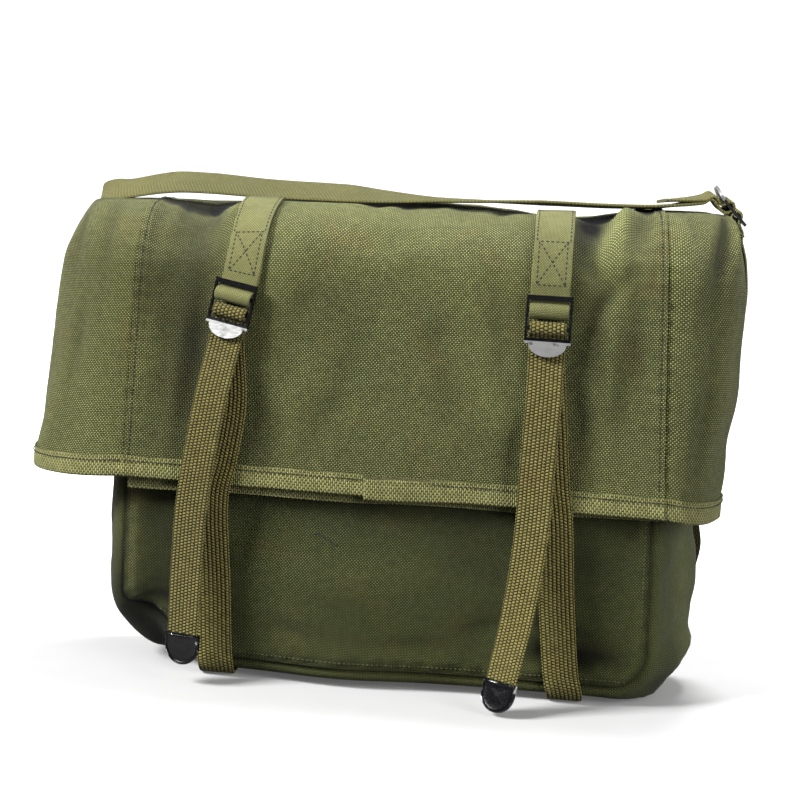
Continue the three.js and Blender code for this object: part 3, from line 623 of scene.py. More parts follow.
# Sewn pucker along a side seam: a sine whose phase sways by a slower sine
def seamWave(along):
    sway, run = flap["puckerSway"]
    return flap["seamPucker"] * np.sin(2 * math.pi * along / flap["puckerPitch"] + sway * np.sin(along / run))


# Small folds, slack and sewn puckers on top of the relief; the folded edge along each side seam stands proud
def flapFine(x, along):
    gap = seamHalf(along) - np.abs(x)
    calm = ease(gap, 0, flap["calm"])
    pucker = seamWave(along) * np.exp(-gap / flap["puckerFade"])
    fold = flap["seamFold"] * (1 - ease(gap, *flap["foldEdge"]))
    pull = flap["stitchPull"] * np.exp(-(((gap - flap["stitchIn"]) / flap["pullWide"]) ** 2))
    slack = flap["ripple"] * ripple(5, x, along, *flap["rippleSpan"])
    return calm * (slack - dents(flap["creases"], x, along)) + pucker + fold - pull


# Hem hangs lower on the right and higher on the left, fading out towards the apex
def hemShift(x, along):
    return flap["hemTilt"] * x * np.minimum(0, along / flapApex - 1) / flap["seamHem"]


# A point of the flap's front and top, out mm from its outer face along the profile's normal
def flapFront(x, along, out, fine=True):
    y, z, heading = walk(flap["profile"], flap["start"], along + hemShift(x, along))
    lift = out + flapRelief(x, along) + (flapFine(x, along) if fine else 0)
    return np.stack([x + 0 * y, y - np.sin(heading) * lift, z + np.cos(heading) * lift], axis=-1)


restProbe = {"steps": 9, "slides": (-4, 0, 4)}


# A point over the flap where a flat band, turned to face left by an angle, rests on the highest of the cloth near it
def restOnFlap(x, along, out, wide, face=0.0):
    cos, sin = math.cos(math.radians(face)), math.sin(math.radians(face))
    heights = [
        flapRelief(x + step * cos, along + slide) + flapFine(x + step * cos, along + slide) - step * sin
        for step in np.linspace(-wide / 2, wide / 2, restProbe["steps"])
        for slide in restProbe["slides"]
    ]
    here = flapRelief(x, along) + flapFine(x, along)
    return flapFront(x, along, out + np.max(heights, axis=0) - here)


# Wings: reach past the left and right seams by distance from the hem, dents and creases by turn and distance
wing = {
    "reach": [(0, 64, 37), (36, 61, 42), (84, 59, 50), (138, 57, 54), (216, 51, 54)],
    "dents": {
        -1: [(42, 120, 20, 55, 0, 5), (78, 182, 26, 30, 0, 6), (60, 20, 24, 34, 0, -4)],
        1: [(34, 150, 14, 46, 0, 6), (66, 104, 20, 40, 0, 4), (44, 24, 20, 34, 0, 3), (104, 190, 30, 26, 0, 15)],
    },
    "creases": {
        -1: [
            (20, 150, 7, 40, 4, 3.0), (34, 90, 7, 44, -6, 2.4), (54, 160, 8, 28, 10, 3.4), (70, 60, 8, 40, -4, 2.0),
            (96, 120, 8, 40, 6, 1.6), (126, 90, 9, 44, 0, 1.6), (150, 150, 9, 36, 0, 1.6), (30, 196, 7, 16, 20, 1.8),
        ],
        1: [
            (18, 182, 6, 26, -10, 2.4), (48, 168, 8, 40, 24, 7.5), (66, 176, 7, 30, 20, -4.0), (30, 70, 7, 48, 4, 2.6),
            (80, 60, 9, 40, -6, 1.4), (100, 130, 9, 40, 4, 1.6), (130, 80, 9, 44, 0, 1.6), (154, 150, 9, 36, 0, 1.4),
        ],
    },
    "seamDrop": 0.4,
    "seamFade": 8.0,
    "ripple": 0.45,
    "rippleSpan": (16, 60),
    "rippleTurn": 1.1,
    "streakRise": 90.0,
    "rounds": 121,
    "rows": 110,
}


# A point of a side wing: angle turns from the front seam to the back, up rises from the hem to the apex;
# across it is an ellipse between the front and back profiles, and a superellipse dome closes it at the top
def flapWing(side, angle, up, out, fine=True):
    along = up * flapApex
    seam = seamHalf(along)
    cos, sin = np.cos(np.radians(angle)), np.maximum(np.sin(np.radians(angle)), 0)
    shift = hemShift(side * seam, along) - flap["wingSag"] * sin * (1 - up)
    frontA, frontB, frontTurn = walk(flap["profile"], flap["start"], along + shift)
    backA, backB, backTurn = walk(flap["profile"], flap["start"], flapLength - up * (flapLength - flapApex) - shift)
    relief = flapRelief(side * seam, along) * np.maximum(cos, 0) ** 2
    relief = relief - dents(wing["dents"][side], angle, along) * sin**2
    if fine:
        slack = wing["ripple"] * ripple(7 + side, angle * wing["rippleTurn"], along, *wing["rippleSpan"])
        relief = relief + (slack - dents(wing["creases"][side], angle, along)) * np.minimum(1, sin * 3)
        relief = relief + (seamWave(along) - wing["seamDrop"]) * np.exp(-angle / wing["seamFade"])
    lift = out + relief * (1 - up**flap["domePower"])
    frontY, frontZ = frontA - np.sin(frontTurn) * lift, frontB + np.cos(frontTurn) * lift
    backY, backZ = backA - np.sin(backTurn) * lift, backB + np.cos(backTurn) * lift
    reach = tableAt(wing["reach"], along, 1 if side < 0 else 2)
    dome = np.maximum(0, 1 - np.clip(up, 0, 1) ** flap["domePower"]) ** (1 / flap["domePower"])
    x = side * (seam + pack["air"] / 2 + np.maximum(0, (reach + lift) * dome) * sin ** flap["wingPower"])
    y = (frontY + backY) / 2 - (backY - frontY) / 2 * cos
    z = frontZ * (1 + cos) / 2 + backZ * (1 - cos) / 2
    return np.stack([x, y, z], axis=-1)


# The front panel by its share across and distance along, and each wing by its turn and rise, as two layers each
def makeFlap():
    share, along = np.meshgrid(np.linspace(-1, 1, flap["columns"]), np.linspace(0, flapHinge, flap["rows"]))
    x = share * seamHalf(along)
    uv = np.stack([x, along], axis=-1) * uvScale
    # The tone paints shade and light into the flap's colour: its rows, a painted shadow under the carrying strap,
    # painted fold shading and painted streaks that stand in for soft folds
    low, dark, fade, high = flap["strapShade"]
    tone = dents(flap["tones"], x, along) - flap["strapShadow"] * ease(along, low, dark) * (1 - ease(along, fade, high))
    tone = tone + paintedFoldShade(flap["creases"], x, along, flap["paintedFoldShade"])
    tone = tone + flap["paintedStreakShade"] * ripple(11, x, along * flap["streakStretch"], *flap["streakSpan"])
    outer, inner = (flapFront(x, along, out) for out in (0, -pack["canvas"]))
    front = clothPiece("flap_panel", outer, inner, uv, flapCloth, tone=tone)
    settle(front, "flap_canvas", "flap_front")
    for side, label, node in ((-1, "flap_side_left", "flap_wing_left"), (1, "flap_side_right", "flap_wing_right")):
        rise = np.sin(np.linspace(0, math.pi / 2, wing["rows"]))
        angle, up = np.meshgrid(np.linspace(0, 180, wing["rounds"]), rise)
        outer, inner = (flapWing(side, angle, up, out) for out in (0, -pack["canvas"]))
        uv = np.stack([np.broadcast_to(runAlong(outer[0]), up.shape), up * flapApex], axis=-1) * uvScale
        # The wing's tone is painted fold shading and painted streaks of shade and light
        paintedStreakShade = flap["paintedStreakShade"] * ripple(13 + side, angle, up * wing["streakRise"], *flap["streakSpan"])
        tone = paintedFoldShade(wing["creases"][side], angle, up * flapApex, flap["paintedFoldShade"]) + paintedStreakShade
        piece = clothPiece(label, outer, inner, uv, flapCloth, weld=weldGap, tone=tone)
        settle(piece, "flap_canvas", node)


facing = {
    "belowLeft": 8.0, "belowRight": 3.0, "rise": 55.0, "half": 163.0, "thick": 1.2, "wave": 0.5, "waveRun": 19.0,
    "columns": 165, "rows": 24,
}
facingOut = -pack["canvas"] - pack["tape"] - 4 * pack["air"]


# The inner facing lies behind the front panel and its lower edge, a little wavy, shows under the hem
def makeFacing():
    across = np.linspace(-facing["half"], facing["half"], facing["columns"])
    x, share = np.meshgrid(across, np.linspace(0, 1, facing["rows"]))
    right = (x / facing["half"] + 1) / 2
    below = facing["belowLeft"] + (facing["belowRight"] - facing["belowLeft"]) * right
    wave = facing["wave"] * np.sin(x / facing["waveRun"])
    along = -below + (below + facing["rise"]) * share + wave * (1 - share) ** 4
    outer, inner = (flapFront(x, along, facingOut - deep, fine=False) for deep in (0, facing["thick"]))
    piece = clothPiece("facing_edge", outer, inner, np.stack([x, along], axis=-1) * uvScale, facingCloth)
    settle(piece, "flap_canvas", "flap_facing")


hem = {
    "tall": 12.0, "joint": -17.0, "lap": 1.0, "drop": 2.2, "lapFrom": 8.0, "lapFade": 70.0, "pucker": 0.35,
    "puckerWave": (46, 2, 7), "edge": 0.35, "edgeWave": (31, 1), "stitchSink": 0.35, "stitchDown": 3.0,
    "straight": 1.5, "corner": 1.004, "frontSteps": 190, "wingSteps": 90, "foldSteps": 7, "sewnTo": 1.7,
    "jointSteps": (-0.004, -0.002, 0.0, 0.002, 0.004),
}


# Stations along the hem from the left back corner over the front to the right back corner
def hemPoint(station, along, out):
    left, right = station < -1, station > 1
    middle = np.clip(station, -1, 1)
    flatPart = flapFront(middle * seamHalf(along), along, out)
    leftPart = flapWing(-1, np.clip((-1 - station) * 180, 0, 180), along / flapApex, out)
    rightPart = flapWing(1, np.clip((station - 1) * 180, 0, 180), along / flapApex, out)
    return np.where(left[..., None], leftPart, np.where(right[..., None], rightPart, flatPart))


# A tape folded round the hem: its profile goes down the outside, round the fold and up the inside, and back
def makeHem():
    joint = hem["joint"] / flap["seamHem"] + np.array(hem["jointSteps"])
    front = np.linspace(-1, 1, hem["frontSteps"])
    right = np.linspace(hem["corner"], 2, hem["wingSteps"])
    left = np.linspace(-2, -hem["corner"], hem["wingSteps"])
    station = np.sort(np.concatenate([left, front, joint, right]))
    tall, low, air, tape, canvas = hem["tall"], hem["straight"], pack["air"], pack["tape"], pack["canvas"]
    turn = np.linspace(0, math.pi, hem["foldSteps"])
    middle, inRound = (air - canvas - air) / 2, (2 * air + canvas) / 2
    outRound = inRound + tape
    fold = [(-air * 0.5 - outRound * 0.55 * math.sin(t), middle + outRound * math.cos(t)) for t in turn]
    inFold = [(-air * 0.3 - inRound * 0.4 * math.sin(t), middle + inRound * math.cos(t)) for t in turn[::-1]]
    down = [(a, air + tape) for a in np.linspace(tall, low, 7)]
    up = [(a, -canvas - air - tape) for a in np.linspace(low, tall, 5)]
    innerDown = [(a, -canvas - air) for a in np.linspace(tall, low, 4)]
    innerUp = [(a, air) for a in np.linspace(low, tall, 4)]
    profile = np.array(down + fold + up + innerDown + inFold + innerUp)
    s, k = np.meshgrid(station, np.arange(len(profile)), indexing="ij")
    along, out = profile[k, 0], profile[k, 1]
    x = np.clip(s, -1, 1) * flap["seamHem"]
    outside = k < len(down) + 3
    past = x - hem["joint"]
    lap = hem["lap"] * (ease(past, -0.5, 0.5) - ease(past, hem["lapFrom"], hem["lapFade"]))
    quick, sway, slow = hem["puckerWave"]
    wave = hem["pucker"] * np.sin(s * quick + sway * np.sin(s * slow))
    sunk = hem["stitchSink"] * np.exp(-((along - tall + hem["stitchDown"]) ** 2))
    out = out + np.where(outside, lap - sunk + wave * 0.5, 0)
    often, first = hem["edgeWave"]
    edge = hem["edge"] * np.sin(s * often + first) * (along > tall - 0.5) - hem["drop"] / hem["lap"] * lap * outside
    points = hemPoint(s, along + edge, out)
    index = np.arange(s.size).reshape(s.shape)
    run, girth = runAlong(points[:, 3])[:, None], runAlong(profile)[None, :]
    uv = np.stack(np.broadcast_arrays(run, girth), axis=-1).reshape(-1, 2) * uvScale
    faces = [ringFaces(index), *endCaps(index)]
    piece = makePiece("hem_tape", settled(points.reshape(-1, 3)), faces, uv, [tapeCloth], sharp=50)
    settle(piece, "binding_tape", "hem_binding")


# A row of stitches just inside each side seam and one along the hem tape
def makeFlapSewing():
    along = np.linspace(hem["tall"], flapApex + 30, 400)
    edge = seamHalf(along) - flap["stitchIn"]
    stitchPiece("flap_sewing", [flapFront(side * edge, along, 0.45) for side in (-1, 1)], darkSewing)
    station = np.linspace(-hem["sewnTo"], hem["sewnTo"], 900)
    rise = np.full(station.shape, hem["tall"] - hem["stitchDown"])
    stitchPiece("hem_sewing", [hemPoint(station, rise, pack["air"] + pack["tape"] + 0.3)], hemSewing)


makeFlap()
makeFacing()
makeHem()
makeFlapSewing()
print("flap made")

# Seam strips at the bag's back corners: where they start and how far they stand out on the left and right
backEdge = {
    "wide": 9.0, "thick": 2.2, "gap": 0.3, "start": {-1: 50.0, 1: 36.0}, "stations": 13,
    "bulge": [(36, 0, 0), (50, 0, 5), (68, 9, 11), (88, 13, 14), (104, 11, 12), (115, 8, 9)],
    "cloth": [(14, 0, 2), (36, 0, 5), (50, 1, 9), (68, 7, 12), (88, 10, 11), (104, 8, 9), (125, 5, 5)],
}

# Bag: front panel, gusset round the sides and base, back panel
bagWidthRun = 2 * pack["bagHalf"]
bag = {
    "rim": 250.0,
    "seamBase": 13.0,
    "cornerLeft": 36.0,
    "cornerRight": 22.0,
    "frontInset": 14.0,
    "cornerFill": 9.0,
    "fillAcross": (0.45, 0.5),
    "fillFrom": 0.3,
    "cornerShade": -0.7,
    "shadeSpan": (60.0, 0.6),
    "standing": 2.3,
    "loose": (-0.3, -0.21, 96.0, 90.0),
    "folds": [(-148, 15, 24, 27, 23, 8)],
    "foldFade": 45.0,
    "frontLow": 57.0,
    "frontHigh": 44.0,
    "back": 50.0,
    "sideSwell": 13.0,
    "baseSwell": 10.7,
    "belly": 6.0,
    "bellyRise": 60.0,
    "dentRise": 14.0,
    "sideSquare": 2.4,
    "baseSquare": 4.0,
    "toe": (-34, 42, 46, 10),
    "dents": [(122, 30, 34, 10, 0, 6), (-132, 40, 22, 12, 0, 6), (-30, 70, 60, 18, 0, -3), (45, 100, 26, 40, 0, 3)],
    "creases": [
        (118, 46, 22, 5, 10, 3.5), (126, 30, 24, 6, 0, 3.0), (112, 88, 20, 8, 6, 2.4), (140, 24, 12, 4, 30, -2.4),
        (-140, 58, 12, 3.5, -20, 1.8), (-128, 70, 14, 4, -26, 1.4), (-60, 34, 26, 5, 6, 1.4), (10, 30, 30, 5, -4, 1.2),
        (60, 44, 22, 6, -14, 1.6), (136, 52, 8, 4, 24, 1.8), (128, 66, 12, 4, 30, 1.4), (150, 90, 6, 16, 6, 1.2),
        (-90, 96, 7, 24, 8, 1.2), (-20, 110, 9, 24, -10, 1.2), (60, 76, 30, 7, 12, 1.2), (-152, 100, 5, 18, -4, 1.2),
    ],
    # Rows of painted shade on the front panel: darker at the left, in the lower right dents and in a band of painted
    # shadow under the flap's hem
    "tones": [
        (-140, 80, 24, 70, 0, -0.4), (120, 70, 30, 60, 0, -0.2), (0, 122, 200, 16, 0, -0.5),
        (124, 30, 26, 8, 0, -0.3), (114, 88, 24, 9, 0, -0.2),
    ],
    # Rows of painted shade and light on the gusset, by distance from its end and share across
    "sideTones": [
        (-600, 30, 70, 40, 0, -0.4), (-168, 44, 44, 16, 0, 0.4), (-170, 14, 50, 10, 0, -0.35),
        (-226, 22, 14, 22, 0, -0.4),
    ],
    # seamShade is a painted shade in the crease along the front panel's seam, how dark and how wide; seamLight is a
    # painted highlight along the welt just inside it, how light, how far in and how wide; sideShade is a painted shade
    # along the gusset's front seam
    "seamShade": (0.6, 1.3),
    "seamLight": (0.35, 6.0, 2.2),
    "sideShade": (0.5, 1.6),
    "ripple": 0.5,
    "rippleSpan": (18, 70),
    "sideRipple": 0.7,
    "sideSpan": (16, 60),
    "backRipple": 0.6,
    "backSpan": (40, 120),
    "sideCreases": [
        (-206, 34, 6, 24, 10, 3.2), (-188, 38, 7, 22, -14, 2.6), (-166, 30, 8, 20, 12, 2.2), (-229, 40, 5, 34, 4, 3.5),
        (-150, 60, 8, 26, -10, 2.0), (-216, 62, 5, 26, -8, -2.0), (-bagWidthRun - 200, 36, 6, 30, 8, 3.0),
    ],
    "paintedFoldShade": 0.07,
    "pillow": 3.4,
    "pillowWide": 9.0,
    "seamPucker": 0.5,
    "puckerRun": 2.6,
    "puckerSway": (2.0, 11.0),
    "puckerFade": 9.0,
    "sidePucker": 0.3,
    "sidePuckerRun": 3.4,
    "sidePuckerSway": (1.2, 13.0),
    "sidePuckerFade": 6.0,
    "stitchIn": 4.0,
    "stitchTop": 118.0,
    "columns": 181,
    "rows": 120,
    "cornerRows": 40,
    "backColumns": 81,
    "gussetStations": 330,
    "gussetColumns": 49,
}
bagWall = bag["rim"] - bag["seamBase"]
bagOutline = [
    (bagWall - bag["cornerLeft"], 0),
    (bag["cornerLeft"] * math.pi / 2, 90),
    (bagWidthRun - bag["cornerLeft"] - bag["cornerRight"], 0),
    (bag["cornerRight"] * math.pi / 2, 90),
    (bagWall - bag["cornerRight"], 0),
]
bagOutlineLength = sum(run for run, _ in bagOutline)


# How far the front seam stands forward: even from base to rim, with a bell for the bulge between the straps
def frontSeam(x, z):
    across, wide, tall, out = bag["toe"]
    plain = bag["frontLow"] + (bag["frontHigh"] - bag["frontLow"]) * (z - bag["seamBase"]) / bagWall
    return plain + out * bell(x - across, wide, z - bag["seamBase"], tall)


# Half the width of the bag's panels on one side: straight sides on circular lower corners
def bagHalfAt(side, z):
    corner = np.where(side < 0, bag["cornerLeft"], bag["cornerRight"])
    low = np.maximum(0, corner - (z - bag["seamBase"]))
    return pack["bagHalf"] - corner + np.sqrt(np.maximum(0, corner**2 - low**2))


# How far the right front seam stands in from the right back seam, eased from the middle
def insetAt(x):
    return bag["frontInset"] * ease(x, 0, pack["bagHalf"])


# Points near a front corner's fold are pushed up and back by a bell that fades behind the seam
def folded(points):
    x, y, z = np.moveaxis(points, -1, 0)
    near = ease(-y, bag["frontLow"] - bag["foldFade"], bag["frontLow"])
    for across, height, wide, tall, rise, back in bag["folds"]:
        weight = near * bell(x - across, wide, z - height, tall)
        y, z = y + back * weight, z + rise * weight
    return np.stack([x, y, z], axis=-1)


# A point of the front panel: a parabola's belly, pillowed along the seams, less dents, folds and sewn puckers
def bagFront(share, z, out):
    half = bagHalfAt(share, z)
    x = share * half
    rise = ease(z, bag["seamBase"], bag["seamBase"] + bag["bellyRise"])
    inside = (1 - share**4) * ease(z, bag["seamBase"], bag["seamBase"] + bag["dentRise"])
    edge = np.minimum((1 - np.abs(share)) * half, z - bag["seamBase"])
    y = -frontSeam(x, z) - bag["belly"] * (1 - share**2) * rise
    y = y + inside * (dents(bag["dents"], x, z) + dents(bag["creases"], x, z))
    slack = bag["ripple"] * ripple(21, x, z, *bag["rippleSpan"]) * ease(edge, 2, 20)
    y = y - bag["pillow"] * ease(edge, 0, bag["pillowWide"]) - slack
    sway, swayRun = bag["puckerSway"]
    wave = bag["seamPucker"] * np.sin((x - z) / bag["puckerRun"] + sway * np.sin(x / swayRun))
    y = y + wave * np.exp(-edge / bag["puckerFade"]) * ease(edge, 0, 2)
    return folded(np.stack([x + pack["bagShift"] - insetAt(x), y - out, z + 0 * y], axis=-1))


# How far the bag bulges at its back seams, where the seam strips stand out, by height and side
def backBulge(side, z):
    left, right = (tableAt(backEdge["cloth"], z, column) for column in (1, 2))
    return np.where(side < 0, left, right)


# A point of the gusset: it follows the seam outline and swells between its seams as a superellipse
def bagGusset(along, share, out):
    a, b, heading = walk(bagOutline, (-pack["bagHalf"], bag["rim"], -90.0), along)
    outX, outZ = np.sin(heading), -np.cos(heading)
    swell = bag["sideSwell"] * outX**2 + bag["baseSwell"] * outZ**2
    power = bag["sideSquare"] + (bag["baseSquare"] - bag["sideSquare"]) * outZ**2
    rounded = np.maximum(0, 1 - np.abs(2 * share - 1) ** power) ** (1 / power)
    percent = share * 100
    fromEnd = along - bagOutlineLength
    gap = np.minimum(share, 1 - share) * 100
    sway, swayRun = bag["sidePuckerSway"]
    wave = bag["sidePucker"] * np.sin(along / bag["sidePuckerRun"] + sway * np.sin(along / swayRun))
    pucker = wave * np.exp(-gap / bag["sidePuckerFade"]) * ease(gap, 0, 1.5)
    slack = bag["sideRipple"] * ripple(33, along, percent, *bag["sideSpan"]) * ease(gap, 2, 18) * (1 - outZ**2 * 0.9)
    lift = swell * rounded + out + pucker * (1 - outZ**2) + slack
    lift = lift - dents(bag["sideCreases"], fromEnd, percent) * ease(gap, 0, 8)
    corner = bag["cornerRight"]
    fillAt, fillWide = bag["fillAcross"]
    fill = bag["cornerFill"] * bell(fromEnd + bagWall - corner / 4, corner, share - fillAt, fillWide)
    fill = fill * ease(share, 0, bag["fillFrom"])
    lift = lift + fill + backBulge(outX, b) * outX**2 * ease(share, 0.1, 0.95)
    front = -frontSeam(a, b) + pack["canvas"] + pack["air"]
    back = bag["back"] - pack["canvas"] - pack["air"]
    x = a + pack["bagShift"] + outX * lift - insetAt(a) * (1 - share)
    z = np.maximum(b + outZ * lift, bag["standing"] - out)
    return folded(np.stack([x, front + (back - front) * share, z], axis=-1))


# Front panel by its share across and height, gusset by its run and share across, back panel flat; heights follow
# the round of the left corner and are even above it
def makeBag():
    low = bag["seamBase"] + bag["cornerLeft"] * (1 - np.cos(np.linspace(0, math.pi / 2, bag["cornerRows"])))
    heights = np.concatenate([low, np.linspace(low[-1], bag["rim"], bag["rows"] - bag["cornerRows"] + 1)[1:]])
    share, z = np.meshgrid(np.linspace(-1, 1, bag["columns"]), heights)
    half = bagHalfAt(share, z)
    x = share * half
    uv = np.stack([x, z], axis=-1) * uvScale
    edge = np.minimum((1 - np.abs(share)) * half, z - bag["seamBase"])
    # The front panel's tone is painted shade and light: its rows, painted fold shading, a painted shade in the seam's
    # crease and a painted highlight along the welt beside it
    tone = dents(bag["tones"], x, z) + paintedFoldShade(bag["creases"] + bag["dents"], x, z, bag["paintedFoldShade"])
    dark, darkWide = bag["seamShade"]
    highlight, highlightAt, highlightWide = bag["seamLight"]
    tone = tone - dark * np.exp(-((edge / darkWide) ** 2)) + highlight * np.exp(-(((edge - highlightAt) / highlightWide) ** 2))
    outer, inner = (bagFront(share, z, out) for out in (0, -pack["canvas"]))
    front = clothPiece("bag_panel", outer, inner, uv, bagCloth, tone=tone)
    settle(front, "bag_canvas", "bag_front")
    along, across = np.meshgrid(
        np.linspace(0, bagOutlineLength, bag["gussetStations"]),
        0.5 - 0.5 * np.cos(np.linspace(0, math.pi, bag["gussetColumns"])),
        indexing="ij",
    )
    outer, inner = (bagGusset(along, across, out) for out in (0, -pack["canvas"]))
    girth = np.cumsum(np.linalg.norm(np.diff(outer, axis=1, prepend=outer[:, :1]), axis=2), axis=1)
    uv = np.stack([along, girth], axis=-1) * uvScale
    # Painted shade on the gusset: darker at the lower front corner where the panel folds over it and along its front
    # seam, with painted fold shading and rows of painted shade and light
    dark, darkWide = bag["sideShade"]
    fromEnd, percent = along - bagOutlineLength, across * 100
    long, wide = bag["shadeSpan"]
    tone = bag["cornerShade"] * bell(along - bagWall, long, across, wide) - dark * np.exp(-((girth / darkWide) ** 2))
    tone = tone + paintedFoldShade(bag["sideCreases"], fromEnd, percent, bag["paintedFoldShade"]) + dents(bag["sideTones"], fromEnd, percent)
    sides = clothPiece("bag_sides", outer, inner, uv, gussetCloth, tone=tone)
    settle(sides, "bag_canvas", "bag_gusset")
    share, z = np.meshgrid(np.linspace(-1, 1, bag["backColumns"]), heights[::2])
    x = share * bagHalfAt(share, z)
    hollow = bag["backRipple"] * ripple(41, x, z, *bag["backSpan"]) * (1 - share**4) * ease(z, bag["seamBase"], 40)
    spread = np.sign(share) * backBulge(share, z) * ease(np.abs(share), 0.5, 1)
    outer = np.stack([x + pack["bagShift"] + spread, bag["back"] + hollow, z], axis=-1)
    inner = outer - np.array([0, pack["canvas"], 0])
    back = clothPiece("bag_rear", outer, inner, np.stack([x, z], axis=-1) * uvScale, bagCloth)
    settle(back, "bag_canvas", "bag_back")


# A row of stitches beside the front panel's seam, down one side, along the base and up the other, and one loose
# thread that runs straight but for a small sine
def makeBagSewing():
    height = np.linspace(bag["stitchTop"], bag["seamBase"] + bag["cornerLeft"], 90)
    inside = 1 - bag["stitchIn"] / pack["bagHalf"]
    left, right = bagFront(-inside, height, 0.1), bagFront(inside, height, 0.1)
    across = np.linspace(-0.98, 0.98, 300)
    base = bagFront(across, np.full(300, bag["seamBase"] + bag["stitchIn"]), 0.1)
    stitchPiece("bag_sewing", [left, right, base], bagSewing)
    loose = np.linspace(0, 1, 40)
    left, right, first, last = bag["loose"]
    bend = first + (last - first) * loose + 0.8 * np.sin(5 * loose)
    stitchPiece("loose_thread", [bagFront(left + (right - left) * loose, bend, 0.2)], looseSewing)


makeBag()
makeBagSewing()
print("bag made")


# Webbing

# Points of a smooth curve through stations: cubic pieces with tangents weighted by the square root of the gaps
def throughStations(stations, steps):
    p = np.asarray(stations, float)
    p = np.concatenate([[2 * p[0] - p[1]], p, [2 * p[-1] - p[-2]]])
    gap = np.sqrt(np.linalg.norm(np.diff(p, axis=0), axis=1))[:, None]
    p0, p1, p2, p3 = p[:-3], p[1:-2], p[2:-1], p[3:]
    d0, d1, d2 = gap[:-2], gap[1:-1], gap[2:]
    m1 = ((p1 - p0) / d0 - (p2 - p0) / (d0 + d1) + (p2 - p1) / d1) * d1
    m2 = ((p2 - p1) / d1 - (p3 - p1) / (d1 + d2) + (p3 - p2) / d2) * d1
    t = np.linspace(0, 1, steps, endpoint=False)[None, :, None]
    body = (
        p1[:, None]
        + m1[:, None] * t
        + (-3 * p1 + 3 * p2 - 2 * m1 - m2)[:, None] * t**2
        + (2 * p1 - 2 * p2 + m1 + m2)[:, None] * t**3
    )
    return np.concatenate([body.reshape(-1, p.shape[1]), p[-2:-1]])


# Even steps along a polyline of points with the across direction carried with them
def evenSteps(points, acrosses, step):
    run = runAlong(points)
    at = np.linspace(0, run[-1], max(2, int(round(run[-1] / step)) + 1))
    return layAlong(at, run, points), layAlong(at, run, acrosses), at


curveSteps = 24  # points of the curve from one station to the next
fraySpan = (7, 40)


# A woven band: its rounded flat profile is carried along the stations; both ends are closed by a flat strip
def bandPiece(name, stations, acrosses, look, material, tone=()):
    dense = throughStations(stations, curveSteps)
    place = np.linspace(0, len(stations) - 1, len(dense))
    turn = layAlong(place, np.arange(len(stations)), np.asarray(acrosses, float))
    points, across, run = evenSteps(dense, turn, look["step"])
    tangent = unit(np.gradient(points, axis=0))
    across = unit(across - tangent * (across * tangent).sum(1, keepdims=True))
    normal = np.cross(across, tangent)
    half, thick = look["wide"] / 2, look["thick"] / 2
    flatHalf = half - thick
    sweep = np.linspace(-math.pi / 2, math.pi / 2, 6)[1:-1]
    top = np.linspace(-flatHalf, flatHalf, look["columns"])
    side = [(flatHalf + thick * math.cos(t), -thick * math.sin(t)) for t in sweep]
    profile = np.array(
        [(p, thick) for p in top] + side + [(p, -thick) for p in top[::-1]] + [(-p, -q) for p, q in side]
    )
    count = len(profile)
    frayed = 1 + look["waver"] * ripple(look["seed"], run[:, None], 0.0, *fraySpan)
    ring = (
        points[:, None]
        + across[:, None] * (profile[:, 0] * frayed)[..., None]
        + normal[:, None] * profile[None, :, 1:]
    )
    index = np.arange(len(run) * count).reshape(len(run), count)
    faces = [ringFaces(index), *endCaps(index)]
    uv = np.stack(np.broadcast_arrays(profile[None, :, 0], run[:, None]), axis=-1).reshape(-1, 2) * uvScale
    # The tone, pairs of share of the run and value, paints shade or light along the band
    shade = np.repeat(np.interp(run / run[-1], *zip(*tone)), count) if tone else None
    piece = makePiece(name, settled(ring.reshape(-1, 3)), faces, uv, [material], sharp=60, tone=shade)
    return {
        "piece": piece, "points": points, "across": across, "normal": normal, "run": run, "thick": thick,
        "stationRun": runAlong(dense)[::curveSteps],
    }


def settleBand(band, slot, node):
    settle(band["piece"], slot, node)


closingBand = {
    "wide": pack["strapWide"], "thick": pack["strapThick"], "columns": 15, "step": 1.3, "waver": 0.006, "seed": 51,
}
chapeBand = dict(closingBand, wide=pack["chapeWide"], thick=pack["chapeThick"], columns=13, waver=0.004, seed=52)
carryBand = dict(closingBand, wide=pack["carryWide"], step=1.5, seed=53)
carryTabBand = dict(chapeBand, wide=pack["carryWide"])


# A line on a band's face, straight from one (run, across) corner to another, a hair above the face
def lineOnBand(band, start, end, lift=0.05):
    share = np.linspace(0, 1, 60)
    run = start[0] + (end[0] - start[0]) * share
    side = start[1] + (end[1] - start[1]) * share
    points, across, normal = (layAlong(run, band["run"], band[key]) for key in ("points", "across", "normal"))
    return points + across * side[:, None] + normal * (band["thick"] + lift)


chapeSeam = {"boxLow": -2.0, "boxTall": 27.0, "boxHalf": 8.6, "edgeHalf": 10.2}


# The chape is sewn down with a crossed box above its buckle and a row along each edge
def chapeStitches(label, band):
    low = band["stationRun"][len(chapeRun["under"]) + len(chapeThread) - 1] + chapeSeam["boxLow"]
    high, half, edge = low + chapeSeam["boxTall"], chapeSeam["boxHalf"], chapeSeam["edgeHalf"]
    top = band["run"][-1] - 1
    corners = [
        ((low, -half), (low, half)), ((high, -half), (high, half)),
        ((low, -half), (high, -half)), ((low, half), (high, half)),
        ((low, -half), (high, half)), ((low, half), (high, -half)),
        ((high, -edge), (top, -edge)), ((high, edge), (top, edge)),
    ]
    stitchPiece("chape_sewing_" + label, [lineOnBand(band, a, b) for a, b in corners], chapeSewing)


